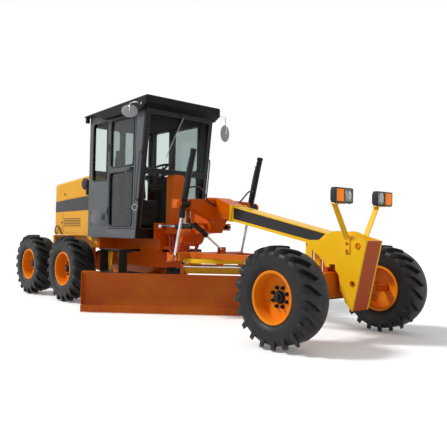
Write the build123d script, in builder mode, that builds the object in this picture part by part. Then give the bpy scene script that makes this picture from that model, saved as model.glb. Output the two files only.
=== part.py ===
from build123d import *
import math
import os

# Motor grader, millimetres. The machine is drawn about its own centre plane: X forward from the front
# axle, Y to the left, Z up from the ground. write() then moves every piece to the stored frame, whose
# origin lies on the ground under the middle of the parked machine's box.

# --- wheels and axles -------------------------------------------------------------------------------
TYRE_R = 520.0
TYRE_W = 390.0
CASING_R = 490.0
CASING_SIDES = 16
LUGS = 18
LUG_W = 56.0
LUG_L = 190.0
LUG_SLANT = 34.0
LUG_FOOT = 425.0
LUG_Y = 98.0
WHEEL_Y = 920.0
TANDEM_X = -5270.0
TANDEM_PITCH = 1340.0
RIM_R = 250.0
RIM_HALF = 152.0
FLANGE_R = 272.0
FLANGE_T = 12.0
RIM_WALL = 12.0
DISC_Y = 15.0
DISC_T = 18.0
HUB_R = 66.0
HUB_L = 110.0
SPINDLE_R = 45.0
PIN_GAP = 0.3
END_GAP = 6.0
KINGPIN_Y = 660.0
KINGPIN_R = 30.0
KNUCKLE_R = 50.0
KNUCKLE_H = 150.0
STEER_ARM = 190.0
ARM_T = 28.0
TIE_R = 16.0
STEER_PIN = (-130.0, 150.0)
STEER_R = 27.0
AXLE_TOP = 745.0
AXLE_LOW = 465.0
AXLE_HALF = 55.0
PIVOT_Z = 620.0
PIVOT_R = 35.0

# --- front frame ------------------------------------------------------------------------------------
BEAM_HALF = 125.0
PLATE_T = 25.0
BEAM_TOP_FRONT = (60.0, 1141.0)
BEAM_TOP_REAR = (-1670.0, 1507.0)
BEAM_LOW_REAR = (-1850.0, 1344.0)
BEAM_LOW_FRONT = (-400.0, 1064.0)
BEAM_NOSE = (60.0, 980.0)
COLLAR = ((-1708.0, 1303.0), (-1672.0, 1296.0), (-1628.0, 1510.0), (-1664.0, 1518.0))
HINGE_X = -2850.0
HINGE_Z = 1020.0
HINGE_R = 45.0
TONGUE_H = 170.0
TONGUE_R = 110.0
HINGE_EAR_R = 95.0
HINGE_EAR_T = 55.0
NECK_REAR = -2690.0
ARTIC_Y = 300.0
ARTIC_Z = 1225.0
ARTIC_PIN_X = -2200.0
ARTIC_EYE_X = -3030.0
LAMP = (293.0, 370.0, 1563.0)
LAMP_SIZE = (100.0, 300.0, 160.0)

# --- blade group ------------------------------------------------------------------------------------
DRAW_X = -360.0
DRAW_Z = 740.0
DRAW_PIN_R = 25.0
DRAW_LOW = 800.0
DRAW_TOP = 870.0
CIRCLE_X = -2100.0
CIRCLE_R = 460.0
CIRCLE_WALL = 90.0
CIRCLE_LOW = 735.0
CIRCLE_T = 58.0
CIRCLE_TIE_LOW = 568.0
CIRCLE_TIE_TOP = 700.0
CROSS_X = -2250.0
CROSS_W = 160.0
EYE_Z = 800.0
LIFT_Y = 610.0
LIFT_PIVOT = (-2063.0, 1520.0)
LIFT_LEAN = 14.55
LIFT_TOP = 730.0
LIFT_TAIL = 185.0
BARREL_R = 38.0
ROD_R = 20.0
EYE_R = 42.0
EYE_T = 40.0
SHIFT_TOP = (-2090.0, -480.0, 1300.0)
SHIFT_EYE = (-2010.0, 20.0, 915.0)
SHIFT_BARREL = 330.0
BALL_R = 30.0
BLADE_TURN = -44.4
BLADE_L = 3300.0
BLADE_H = 550.0
BLADE_SHIFT = -230.0
BLADE_X = 69.0
BLADE_CURVE = 110.0
BLADE_T = 22.0
EDGE_H = 130.0
EDGE_T = 16.0
GROUND_GAP = 8.0
BLADE_ARM_Y = 427.0
SIDE_X = 25.0
SIDE_Z = 672.0
SIDE_R = 27.0

# --- rear frame, hood and cab -----------------------------------------------------------------------
RAIL_Y = 220.0
RAIL_W = 80.0
RAIL_LOW = 835.0
RAIL_TOP = 1035.0
BELLY_LOW = 600.0
ENGINE = ((-5750.0, -4850.0), 170.0, 1700.0)
FRAME_REAR = -6200.0
HOOD_HALF = 500.0
HOOD_FRONT = -4685.0
HOOD_REAR = -6140.0
HOOD_FRONT_Z = 2105.0
HOOD_REAR_Z = 1985.0
HOOD_LOW = 1045.0
HOOD_WALL = 30.0
GRILLE_Y = (-380.0, 380.0)
GRILLE_Z = (1135.0, 1820.0)
GRILLE_BARS = 16
GRILLE_BAR = 16.0
LOUVRES = 5
LOUVRE_X = (-5790.0, -5150.0)
LOUVRE_LOW = 1200.0
LOUVRE_PITCH = 29.0
AIR_CAP = (-4930.0, 555.0, 1930.0)
AIR_CAP_R = 102.0
CAB_HALF = 620.0
CAB_REAR = -4655.0
CAB_FRONT = -3200.0
CAB_TOP_FRONT = -2972.0
CAB_LOW = 1045.0
CAB_TOP = 2930.0
CAB_WALL = 45.0
FLOOR_T = 60.0
DOOR_REAR = -4020.0
DOOR_FRONT = -3245.0
DOOR_LOW = 1170.0
DOOR_TOP = 2905.0
DOOR_GAP = 6.0
GLASS_T = 8.0
ROOF_FRONT = -2864.0
ROOF_REAR = -4715.0
ROOF_KNEE = (-4430.0, -4130.0)
ROOF_HALF = 700.0
ROOF_TOP = 3105.0
ROOF_TOP_REAR = 3036.0
ROOF_LIP = 3006.0
ROOF_VISOR = 2994.0
ROOF_SKIRT = 2906.0
WINDOW_CORNER = 48.0
SEAT_X = -3950.0
STACK = (-5200.0, 250.0, 2600.0)
STACK_R = 45.0
TOWER = ((-3050.0, -2880.0), (-190.0, 10.0), 1990.0)
MUFFLER = (2085.0, 2460.0, 64.0)
MIRROR_Z = 2990.0
MIRROR_ARM = 8.0
GRAB_RAIL_Y = 668.0
GRAB_RAIL_Z = (1600.0, 2300.0)
GRAB_RAIL_R = 11.0
RAIL_INSET = 26.0
SIDE_LAMP = (-3162.0, 670.0, 1490.0)
SIDE_LAMP_R = 44.0
WORK_LAMP = ((-4712.0, -4660.0), (626.0, 690.0), 2915.0)

REAR_AXLES = (TANDEM_X + TANDEM_PITCH / 2, TANDEM_X - TANDEM_PITCH / 2)
TURN_COS = math.cos(math.radians(BLADE_TURN))
TURN_SIN = math.sin(math.radians(BLADE_TURN))
BLADE_RIGHT = BLADE_SHIFT - BLADE_L / 2
BLADE_LOW_Y = BLADE_X * TURN_SIN + BLADE_RIGHT * TURN_COS
ORIGIN_X = REAR_AXLES[1] / 2
ORIGIN_Y = (WHEEL_Y + TYRE_W / 2 + BLADE_LOW_Y) / 2
LEAN_SIN = math.sin(math.radians(LIFT_LEAN))
LEAN_COS = math.cos(math.radians(LIFT_LEAN))
# --- pieces -----------------------------------------------------------------------------------------

os.makedirs("parts", exist_ok=True)


def write(piece, label, at=(0, 0, 0), turn=0.0):
    """Label one finished piece, move it to its place in the stored frame and write its STEP file."""
    piece.part.label = label
    moved = piece.part.moved(Location((at[0] - ORIGIN_X, at[1] - ORIGIN_Y, at[2]), (0, 0, turn)))
    moved.label = label
    export_step(moved, f"parts/{label}.step")


def slab(outline, y_low, y_high, mode=Mode.ADD):
    """Extrude an (x, z) outline from one Y to another, inside the open part."""
    with BuildSketch(Plane.XZ.offset(-y_high)) as face:
        with BuildLine():
            Polyline(*outline, close=True)
        make_face()
    extrude(face.sketch, amount=y_high - y_low, mode=mode)


def wall(outline, x_low, x_high, mode=Mode.ADD):
    """Extrude a (y, z) outline from one X to another, inside the open part."""
    with BuildSketch(Plane.YZ.offset(x_low)) as face:
        with BuildLine():
            Polyline(*outline, close=True)
        make_face()
    extrude(face.sketch, amount=x_high - x_low, mode=mode)


def deck(outline, z_low, z_high, mode=Mode.ADD):
    """Extrude an (x, y) outline from one Z to another, inside the open part."""
    with BuildSketch(Plane.XY.offset(z_low)) as face:
        with BuildLine():
            Polyline(*outline, close=True)
        make_face()
    extrude(face.sketch, amount=z_high - z_low, mode=mode)


def block(xs, ys, zs, mode=Mode.ADD):
    """A box between two X, two Y and two Z values, inside the open part."""
    with Locations(((xs[0] + xs[1]) / 2, (ys[0] + ys[1]) / 2, (zs[0] + zs[1]) / 2)):
        Box(abs(xs[1] - xs[0]), abs(ys[1] - ys[0]), abs(zs[1] - zs[0]), mode=mode)


def side_pane(xs, ys, zs, mode=Mode.ADD):
    """A plate between two Y values whose outline in X and Z has round corners."""
    with BuildSketch(Plane.XZ.offset(-ys[1])) as face:
        with Locations(((xs[0] + xs[1]) / 2, (zs[0] + zs[1]) / 2)):
            RectangleRounded(xs[1] - xs[0], zs[1] - zs[0], WINDOW_CORNER)
    extrude(face.sketch, amount=ys[1] - ys[0], mode=mode)


def end_pane(x_face, back, thick, ys, zs, lean=0.0, mode=Mode.ADD):
    """A plate set back from a face that may lean, whose outline has round corners."""
    middle = (x_face + lean * (zs[0] + zs[1]) / 2, (ys[0] + ys[1]) / 2, (zs[0] + zs[1]) / 2)
    way = Vector(-1, 0, lean).normalized()
    with BuildSketch(Plane(origin=middle, x_dir=(0, 1, 0), z_dir=way).offset(back)) as face:
        RectangleRounded(ys[1] - ys[0], (zs[1] - zs[0]) * math.hypot(1, lean), WINDOW_CORNER)
    extrude(face.sketch, amount=thick, mode=mode)


def bar(start, end, radius, mode=Mode.ADD):
    """A round bar between two points, inside the open part."""
    way = Vector(*end) - Vector(*start)
    with BuildSketch(Plane(origin=start, z_dir=way)) as face:
        Circle(radius)
    extrude(face.sketch, amount=way.length, mode=mode)


def ring(centre, axis, radius, thick, mode=Mode.ADD):
    """A disc about an axis, centred on a point, inside the open part."""
    way = Vector(*axis).normalized()
    with BuildSketch(Plane(origin=Vector(*centre) - way * (thick / 2), z_dir=way)) as face:
        Circle(radius)
    extrude(face.sketch, amount=thick, mode=mode)


def beam_low(x):
    """Height of the gooseneck's underside near its front end."""
    (x_a, z_a), (x_b, z_b) = BEAM_LOW_FRONT, BEAM_NOSE
    return z_a + (z_b - z_a) * (x - x_a) / (x_b - x_a)


def both(low, high, side):
    """Two Y values on one side of the machine, in rising order."""
    return (min(side * low, side * high), max(side * low, side * high))


SIDES = (("left", 1), ("right", -1))
WHEELS = [
    # name, x, side
    ("front_left", 0.0, 1), ("front_right", 0.0, -1),
    ("middle_left", REAR_AXLES[0], 1), ("middle_right", REAR_AXLES[0], -1),
    ("rear_left", REAR_AXLES[1], 1), ("rear_right", REAR_AXLES[1], -1),
]
HUB_BORE = SPINDLE_R + PIN_GAP
HUB_IN = DISC_Y - 65.0
SPINDLE_END = WHEEL_Y + DISC_Y - 15.0

# --- wheels, drawn about the Y axis and then placed -------------------------------------------------
HALF = TYRE_W / 2
BORE = (RIM_R + 1) / math.cos(math.pi / CASING_SIDES)
TYRE_SECTION = (
    # radius, y: bead, sidewall, tread
    (BORE, RIM_HALF - 12), (0.84 * TYRE_R, HALF), (CASING_R, 0.78 * HALF),
)
LUG_REACH = (
    LUG_L / 2 * math.sin(math.radians(LUG_SLANT)) + LUG_W / 2 * math.cos(math.radians(LUG_SLANT))
)
LUG_TOP = math.sqrt(TYRE_R**2 - LUG_REACH**2)
LUG_PITCH = 360 / LUGS
LUG_PHASE = 180 - math.degrees(math.atan2(LUG_REACH, LUG_TOP))
LUG_PLACES = [
    Location((0, 0, 0), (0, LUG_PHASE + LUG_PITCH * (i + offset), 0))
    * Location((0, side * LUG_Y, (LUG_FOOT + LUG_TOP) / 2), (0, 0, side * LUG_SLANT))
    for side, offset in ((1, 0), (-1, 0.5)) for i in range(LUGS)
]
with BuildPart() as tyre:
    for radius, y in TYRE_SECTION + tuple((r, -y) for r, y in reversed(TYRE_SECTION)):
        with BuildSketch(Plane.XZ.offset(-y)):
            RegularPolygon(radius, CASING_SIDES)
    loft(ruled=True)
    with BuildSketch(Plane.XZ.offset(-HALF)) as bore:
        RegularPolygon(BORE, CASING_SIDES)
    extrude(bore.sketch, amount=TYRE_W, mode=Mode.SUBTRACT)
    with Locations(*LUG_PLACES):
        Box(LUG_W, LUG_L, LUG_TOP - LUG_FOOT)

for name, wheel_x, side in WHEELS:
    write(tyre, f"tyre_{name}", (wheel_x, side * WHEEL_Y, TYRE_R))

    with BuildPart() as rim:
        with BuildSketch(Plane.XY):
            with BuildLine():
                Polyline(
                    (RIM_R - RIM_WALL, -RIM_HALF - FLANGE_T), (FLANGE_R, -RIM_HALF - FLANGE_T),
                    (FLANGE_R, -RIM_HALF), (RIM_R, -RIM_HALF), (RIM_R, RIM_HALF),
                    (FLANGE_R, RIM_HALF), (FLANGE_R, RIM_HALF + FLANGE_T),
                    (RIM_R - RIM_WALL, RIM_HALF + FLANGE_T), close=True,
                )
            make_face()
        revolve(axis=Axis.Y)
        ring((0, side * DISC_Y, 0), (0, 1, 0), RIM_R - RIM_WALL / 2, DISC_T)
        ring((0, side * (HUB_IN + HUB_L / 2), 0), (0, 1, 0), HUB_R, HUB_L)
        bar((0, side * (HUB_IN - 1), 0), (0, side * (DISC_Y - 9), 0), HUB_BORE, Mode.SUBTRACT)
    write(rim, f"rim_{name}", (wheel_x, side * WHEEL_Y, TYRE_R))

# --- front axle, knuckles and steering --------------------------------------------------------------
LUG_LOW = TYRE_R - KNUCKLE_H / 2 - END_GAP
LUG_TOP = TYRE_R + KNUCKLE_H / 2 + END_GAP
with BuildPart() as front_axle:
    wall(
        (
            (-300, AXLE_TOP), (300, AXLE_TOP), (525, LUG_TOP + 45), (570, LUG_TOP + 45),
            (570, LUG_LOW - 45), (525, LUG_LOW - 45), (330, AXLE_LOW), (-330, AXLE_LOW),
            (-525, LUG_LOW - 45), (-570, LUG_LOW - 45), (-570, LUG_TOP + 45), (-525, LUG_TOP + 45),
        ),
        -AXLE_HALF, AXLE_HALF,
    )
    for _, side in SIDES:
        for low, high in ((LUG_LOW - 45, LUG_LOW), (LUG_TOP, LUG_TOP + 45)):
            block((-45, 45), both(560, KINGPIN_Y, side), (low, high))
            ring((0, side * KINGPIN_Y, (low + high) / 2), (0, 0, 1), 52, high - low)
        bar((0, side * KINGPIN_Y, LUG_LOW - 20), (0, side * KINGPIN_Y, LUG_TOP + 20), KINGPIN_R)
    bar((-150, 0, PIVOT_Z), (200, 0, PIVOT_Z), PIVOT_R)
    for ear_z in (0, EYE_T + 12 + 18):
        block(
            (STEER_PIN[0] - 35, -AXLE_HALF + 5), (-STEER_PIN[1] - 35, -STEER_PIN[1] + 35),
            (TYRE_R - EYE_T / 2 - 24 + ear_z, TYRE_R - EYE_T / 2 - 6 + ear_z),
        )
write(front_axle, "front_axle")

for name, side in SIDES:
    king = side * KINGPIN_Y
    with BuildPart() as knuckle:
        ring((0, king, TYRE_R), (0, 0, 1), KNUCKLE_R, KNUCKLE_H)
        bar((0, king + side * 38, TYRE_R), (0, side * SPINDLE_END, TYRE_R), SPINDLE_R)
        arm_z = TYRE_R - KNUCKLE_H / 2
        block((-STEER_ARM, 0), (king - 28, king + 28), (arm_z, arm_z + ARM_T))
        ring((-STEER_ARM, king, arm_z + ARM_T / 2), (0, 0, 1), 28, ARM_T)
        bar((-STEER_ARM, king, arm_z - 40), (-STEER_ARM, king, arm_z), 12)
        ring((STEER_PIN[0], king, arm_z + ARM_T + 8), (0, 0, 1), 22, 20)
        ring((0, king, TYRE_R), (0, 0, 1), KINGPIN_R + PIN_GAP, KNUCKLE_H + 20, Mode.SUBTRACT)
    write(knuckle, f"knuckle_{name}")

TIE_Z = TYRE_R - KNUCKLE_H / 2 - 20.0
with BuildPart() as tie_rod:
    bar((-STEER_ARM, -KINGPIN_Y + 20, TIE_Z), (-STEER_ARM, KINGPIN_Y - 20, TIE_Z), TIE_R)
    for _, side in SIDES:
        ring((-STEER_ARM, side * KINGPIN_Y, TIE_Z), (0, 0, 1), 26, 28)
    for _, side in SIDES:
        ring((-STEER_ARM, side * KINGPIN_Y, TIE_Z), (0, 0, 1), 12 + PIN_GAP, 40, Mode.SUBTRACT)
write(tie_rod, "tie_rod")

STEER_EYE_Y = -KINGPIN_Y
STEER_NOSE = -STEER_PIN[1] - 270.0
with BuildPart() as steering_barrel:
    ring((STEER_PIN[0], -STEER_PIN[1], TYRE_R), (0, 0, 1), 30, EYE_T)
    block(
        (STEER_PIN[0] - 22, STEER_PIN[0] + 22), (-STEER_PIN[1] - 50, -STEER_PIN[1]),
        (TYRE_R - EYE_T / 2, TYRE_R + EYE_T / 2),
    )
    bar((STEER_PIN[0], -STEER_PIN[1] - 44, TYRE_R), (STEER_PIN[0], STEER_NOSE, TYRE_R), STEER_R)
    bar(
        (STEER_PIN[0], -STEER_PIN[1] - 56, TYRE_R), (STEER_PIN[0], STEER_NOSE - 1, TYRE_R),
        ROD_R - 6 + PIN_GAP, Mode.SUBTRACT,
    )
write(steering_barrel, "steering_barrel")
with BuildPart() as steering_rod:
    bar((STEER_PIN[0], STEER_NOSE + 110, TYRE_R), (STEER_PIN[0], STEER_EYE_Y, TYRE_R), ROD_R - 6)
    ring((STEER_PIN[0], STEER_EYE_Y, TYRE_R), (0, 0, 1), 28, EYE_T)
write(steering_rod, "steering_rod")

# --- front frame: gooseneck with its saddle, nose plates and lamps ----------------------------------
with BuildPart() as gooseneck:
    slab(
        (
            BEAM_TOP_FRONT, BEAM_TOP_REAR, (-1800, 1560), (-1980, 1622), (-2150, 1632), (-2300, 1580),
            (-2430, 1430), (-2520, 1320), (-2600, 1250), (NECK_REAR, 1210), (NECK_REAR, 960),
            (-2640, 1000), (-2590, 1100), (-2450, 1125), (-2130, 1140), (-2020, 1330), BEAM_LOW_REAR,
            BEAM_LOW_FRONT, BEAM_NOSE,
        ),
        -BEAM_HALF, BEAM_HALF,
    )
    slab(
        (
            (NECK_REAR, 960), (-2640, 1000), (-2590, 1100), (-2420, 1130), (-2440, 1180),
            (-2560, 1225), (NECK_REAR, 1210),
        ),
        -200, 200,
    )
    slab(COLLAR, -BEAM_HALF - 12, BEAM_HALF + 12)
    block(
        (HINGE_X, NECK_REAR + 10), (-TONGUE_R, TONGUE_R),
        (HINGE_Z - TONGUE_H / 2, HINGE_Z + TONGUE_H / 2),
    )
    ring((HINGE_X, 0, HINGE_Z), (0, 0, 1), TONGUE_R, TONGUE_H)
    ring((HINGE_X, 0, HINGE_Z), (0, 0, 1), HINGE_R + PIN_GAP, TONGUE_H + 20, Mode.SUBTRACT)
    for _, side in SIDES:
        wall(
            [(side * y, z) for y, z in (
                (100, 1600), (480, 1590), (535, 1580), (535, 1460), (480, 1450), (125, 1310), (100, 1310),
            )],
            LIFT_PIVOT[0] - 90, LIFT_PIVOT[0] + 70,
        )
        block((LIFT_PIVOT[0] - 130, LIFT_PIVOT[0] - 88), both(480, 712, side), (1460, 1580))
        block((LIFT_PIVOT[0] - 90, LIFT_PIVOT[0]), both(687, 712, side), (1460, 1580))
        ring((LIFT_PIVOT[0], side * 699.5, LIFT_PIVOT[1]), (0, 1, 0), 60, 25)
        bar(
            (LIFT_PIVOT[0], side * 500, LIFT_PIVOT[1]), (LIFT_PIVOT[0], side * 720, LIFT_PIVOT[1]),
            22 + PIN_GAP, Mode.SUBTRACT,
        )
        for low in (ARTIC_Z - EYE_T / 2 - 26, ARTIC_Z + EYE_T / 2 + 6):
            block(
                (ARTIC_PIN_X - 40, ARTIC_PIN_X + 40), both(100, ARTIC_Y, side), (low, low + 20),
            )
            ring((ARTIC_PIN_X, side * ARTIC_Y, low + 10), (0, 0, 1), 40, 20)
        bar(
            (ARTIC_PIN_X, side * ARTIC_Y, ARTIC_Z - 50), (ARTIC_PIN_X, side * ARTIC_Y, ARTIC_Z + 50), 16,
        )
        block((DRAW_X - 50, DRAW_X + 50), both(66, 92, side), (DRAW_Z - 50, 1062))
    bar((DRAW_X, -100, DRAW_Z), (DRAW_X, 100, DRAW_Z), DRAW_PIN_R)
    for plate_x in (-60, 44):
        block(
            (SHIFT_TOP[0] + plate_x, SHIFT_TOP[0] + plate_x + 16),
            (SHIFT_TOP[1] - 30, SHIFT_TOP[1] + 30), (SHIFT_TOP[2] - 35, 1460),
        )
write(gooseneck, "gooseneck")

with BuildPart() as bolster:
    for _, side in SIDES:
        low, high = both(BEAM_HALF, BEAM_HALF + PLATE_T, side)
        with BuildSketch(Plane.XZ.offset(-high)) as face:
            with BuildLine():
                Polyline(
                    (-105, 1095), (-370, 1085), (-303, 1008), (-100, 865), (-75, 800), (-20, 795),
                    (-20, 830), (60, 830), (60, 775), (110, 720), (137, 560), (200, 440), (287, 347),
                    (458, 1096), (200, 1165),
                )
                ThreePointArc((200, 1165), (40, 1192), (-105, 1095))
            make_face()
        extrude(face.sketch, amount=high - low)
    slab(((458, 1096), (287, 347), (267, 352), (437, 1100)), -BEAM_HALF, BEAM_HALF)
    slab(
        ((100, 700), (110, 540), (300, 520), (345, 700)), -BEAM_HALF, BEAM_HALF,
    )
    bar((60, 0, PIVOT_Z), (210, 0, PIVOT_Z), PIVOT_R, Mode.SUBTRACT)
    slab(((-150, 540), (-150, beam_low(-150)), (-80, beam_low(-80)), (-80, 540)), -100, 100)
    block((-150, -80), (-BEAM_HALF - PLATE_T, BEAM_HALF + PLATE_T), (880, beam_low(-80)))
    bar((-160, 0, PIVOT_Z), (-70, 0, PIVOT_Z), PIVOT_R, Mode.SUBTRACT)
    bar((354, -200, 1040), (354, 200, 1040), 22, Mode.SUBTRACT)
    bar((290, -200, 640), (290, 200, 640), 22, Mode.SUBTRACT)
write(bolster, "bolster")

with BuildPart() as lamp_arms:
    for _, side in SIDES:
        foot = BEAM_HALF + PLATE_T
        block((190, 255), both(foot, foot + 14, side), (960, 1115))
        wall(
            [(side * y, z) for y, z in (
                (foot, 1110), (foot + 14, 1105), (LAMP[1] + 14, LAMP[2] - 100),
                (LAMP[1] + 14, LAMP[2] - LAMP_SIZE[2] / 2), (LAMP[1], LAMP[2] - LAMP_SIZE[2] / 2),
                (LAMP[1], LAMP[2] - 100),
            )],
            190, 255,
        )
        block((190, LAMP[0] + 30), both(LAMP[1] - 40, LAMP[1] + 50, side),
              (LAMP[2] - LAMP_SIZE[2] / 2 - 8, LAMP[2] - LAMP_SIZE[2] / 2))
write(lamp_arms, "lamp_arms")

with BuildPart() as front_lamps:
    for _, side in SIDES:
        with Locations((LAMP[0], side * LAMP[1], LAMP[2])):
            Box(*LAMP_SIZE)
        block(
            (LAMP[0] + LAMP_SIZE[0] / 2 - 12, LAMP[0] + LAMP_SIZE[0] / 2 + 1),
            both(LAMP[1] - 138, LAMP[1] + 138, side), (LAMP[2] - 68, LAMP[2] + 68), Mode.SUBTRACT,
        )
write(front_lamps, "front_lamps")
with BuildPart() as lamp_lenses:
    for _, side in SIDES:
        for low, high in ((-138, -3), (3, 138)):
            block(
                (LAMP[0] + LAMP_SIZE[0] / 2 - 12, LAMP[0] + LAMP_SIZE[0] / 2 - 2),
                both(LAMP[1] + low, LAMP[1] + high, side), (LAMP[2] - 68, LAMP[2] + 68),
            )
write(lamp_lenses, "lamp_lenses")

# --- lift, centre-shift and articulation cylinders --------------------------------------------------
for name, side in SIDES:
    pin = Vector(LIFT_PIVOT[0], side * LIFT_Y, LIFT_PIVOT[1])
    up = Vector(LEAN_SIN, 0, LEAN_COS)
    eye = Vector(CROSS_X, side * LIFT_Y, EYE_Z)
    tail = pin - up * LIFT_TAIL
    with BuildPart() as lift_barrel:
        bar(tuple(tail), tuple(pin + up * LIFT_TOP), BARREL_R)
        bar(tuple(tail), tuple(tail + up * 50), BARREL_R + 5)
        bar(tuple(pin + up * (LIFT_TOP - 30)), tuple(pin + up * LIFT_TOP), BARREL_R + 4)
        bar((pin.X, pin.Y - 64, pin.Z), (pin.X, pin.Y + 64, pin.Z), 48)
        bar((pin.X, pin.Y - 95, pin.Z), (pin.X, pin.Y + 95, pin.Z), 22)
        bar(tuple(tail - up), tuple(pin + up * 500), ROD_R + PIN_GAP, Mode.SUBTRACT)
    write(lift_barrel, f"lift_barrel_{name}")
    with BuildPart() as lift_rod:
        bar(tuple(tail + up * 60), tuple(eye), ROD_R)
        ring(tuple(eye), (0, 1, 0), EYE_R, EYE_T)
    write(lift_rod, f"lift_rod_{name}")

top = Vector(*SHIFT_TOP)
eye = Vector(*SHIFT_EYE)
way = (eye - top).normalized()
with BuildPart() as centre_barrel:
    bar(tuple(top), tuple(top + way * SHIFT_BARREL), BARREL_R - 4)
    with Locations(SHIFT_TOP):
        Sphere(BALL_R)
    bar(
        tuple(top + way * 50), tuple(top + way * (SHIFT_BARREL + 1)), ROD_R - 4 + PIN_GAP, Mode.SUBTRACT,
    )
write(centre_barrel, "centre_shift_barrel")
with BuildPart() as centre_rod:
    bar(tuple(top + way * (SHIFT_BARREL - 60)), tuple(eye), ROD_R - 4)
    with Locations(SHIFT_EYE):
        Sphere(BALL_R - 2)
write(centre_rod, "centre_shift_rod")

ARTIC_NOSE = -2620.0
for name, side in SIDES:
    with BuildPart() as artic_barrel:
        ring((ARTIC_PIN_X, side * ARTIC_Y, ARTIC_Z), (0, 0, 1), 40, EYE_T)
        block(
            (ARTIC_PIN_X - 60, ARTIC_PIN_X), both(ARTIC_Y - 28, ARTIC_Y + 28, side),
            (ARTIC_Z - EYE_T / 2, ARTIC_Z + EYE_T / 2),
        )
        bar((ARTIC_PIN_X - 50, side * ARTIC_Y, ARTIC_Z), (ARTIC_NOSE, side * ARTIC_Y, ARTIC_Z), BARREL_R)
        bar(
            (ARTIC_PIN_X - 70, side * ARTIC_Y, ARTIC_Z), (ARTIC_NOSE - 1, side * ARTIC_Y, ARTIC_Z),
            ROD_R + PIN_GAP, Mode.SUBTRACT,
        )
        ring((ARTIC_PIN_X, side * ARTIC_Y, ARTIC_Z), (0, 0, 1), 16 + PIN_GAP, 100, Mode.SUBTRACT)
    write(artic_barrel, f"articulation_barrel_{name}")
    with BuildPart() as artic_rod:
        bar((ARTIC_NOSE + 200, side * ARTIC_Y, ARTIC_Z), (ARTIC_EYE_X, side * ARTIC_Y, ARTIC_Z), ROD_R)
        ring((ARTIC_EYE_X, side * ARTIC_Y, ARTIC_Z), (0, 0, 1), EYE_R, EYE_T)
    write(artic_rod, f"articulation_rod_{name}")

# --- drawbar, circle and blade ----------------------------------------------------------------------
with BuildPart() as drawbar:
    ring((DRAW_X, 0, DRAW_Z), (0, 1, 0), 60, 120)
    slab(((DRAW_X, 700), (DRAW_X, 790), (-560, DRAW_TOP), (-760, DRAW_TOP), (-760, DRAW_LOW)), -60, 60)
    deck(
        ((-560, -70), (-560, 70), (-2150, 420), (-2330, 420), (-2330, -420), (-2150, -420)),
        DRAW_LOW, DRAW_TOP,
    )
    deck(((-900, -60), (-900, 60), (-2080, 320), (-2080, -320)), DRAW_LOW - 1, DRAW_TOP + 1, Mode.SUBTRACT)
    block((CROSS_X - CROSS_W / 2, CROSS_X + CROSS_W / 2), (-584, 584), (DRAW_LOW, DRAW_TOP))
    for _, side in SIDES:
        block(
            (CROSS_X - CROSS_W / 2, CROSS_X + CROSS_W / 2), both(500, 584, side),
            (DRAW_LOW - 40, DRAW_TOP),
        )
        block((CROSS_X - 95, CROSS_X - 60), both(540, 662, side), (EYE_Z - 60, DRAW_TOP))
        block((CROSS_X - 95, CROSS_X), both(636, 662, side), (EYE_Z - 45, EYE_Z + 45))
        ring((CROSS_X, side * 649, EYE_Z), (0, 1, 0), 45, 26)
        block((CROSS_X - 54, CROSS_X + 85), both(584, 640, side), (EYE_Z - 70, DRAW_TOP + 1), Mode.SUBTRACT)
    shoe = CIRCLE_R - CIRCLE_WALL
    for shoe_x, shoe_y in ((-1790, 200), (-1790, -200), (-2230, 335), (-2230, -335)):
        out = math.degrees(math.atan2(shoe_y, shoe_x - CIRCLE_X))
        with Locations(Location((CIRCLE_X, 0, 0), (0, 0, out))):
            with Locations((shoe - 6 - 20, 0, (CIRCLE_LOW - 26 + DRAW_LOW + 10) / 2)):
                Box(40, 90, DRAW_LOW + 10 - CIRCLE_LOW + 26)
            with Locations((shoe - 10, 0, CIRCLE_LOW - 16)):
                Box(72, 90, 20)
            with Locations((shoe - 26, 0, DRAW_LOW + 10)):
                Box(110, 110, 20)
    for lug_x in (-50, 36):
        block(
            (SHIFT_EYE[0] + lug_x, SHIFT_EYE[0] + lug_x + 14),
            (SHIFT_EYE[1] - 35, SHIFT_EYE[1] + 35), (DRAW_LOW, SHIFT_EYE[2] + 35),
        )
    block((SHIFT_EYE[0] - 50, SHIFT_EYE[0] + 50), (-340, 340), (DRAW_LOW, DRAW_TOP - 10))
    ring((DRAW_X, 0, DRAW_Z), (0, 1, 0), DRAW_PIN_R + PIN_GAP, 130, Mode.SUBTRACT)
write(drawbar, "drawbar")

BLADE_PLACE = (CIRCLE_X, 0, 0)
with BuildPart() as circle:
    ring((0, 0, CIRCLE_LOW + CIRCLE_T / 2), (0, 0, 1), CIRCLE_R, CIRCLE_T)
    ring((0, 0, CIRCLE_LOW + CIRCLE_T / 2), (0, 0, 1), CIRCLE_R - CIRCLE_WALL, CIRCLE_T + 2, Mode.SUBTRACT)
    for _, side in SIDES:
        slab(
            (
                (-20, CIRCLE_LOW + 1), (-150, CIRCLE_LOW + 1), (-230, 560), (-190, 300), (-170, 104),
                (-84, 104), (-84, 486), (-20, 600),
            ),
            *both(BLADE_ARM_Y - 15, BLADE_ARM_Y + 15, side),
        )
    block((-60, -24), (-BLADE_ARM_Y + 10, BLADE_ARM_Y - 10), (CIRCLE_TIE_LOW, CIRCLE_TIE_TOP))
    block((-21, SIDE_X), (BLADE_ARM_Y - 15, BLADE_ARM_Y + 15), (SIDE_Z - 40, SIDE_Z + 36))
    ring((SIDE_X, BLADE_ARM_Y, SIDE_Z), (0, 1, 0), SIDE_R + 8, 30)
    ring((SIDE_X, BLADE_ARM_Y, SIDE_Z), (0, 1, 0), SIDE_R, 40, Mode.SUBTRACT)
write(circle, "circle", BLADE_PLACE, BLADE_TURN)

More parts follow.
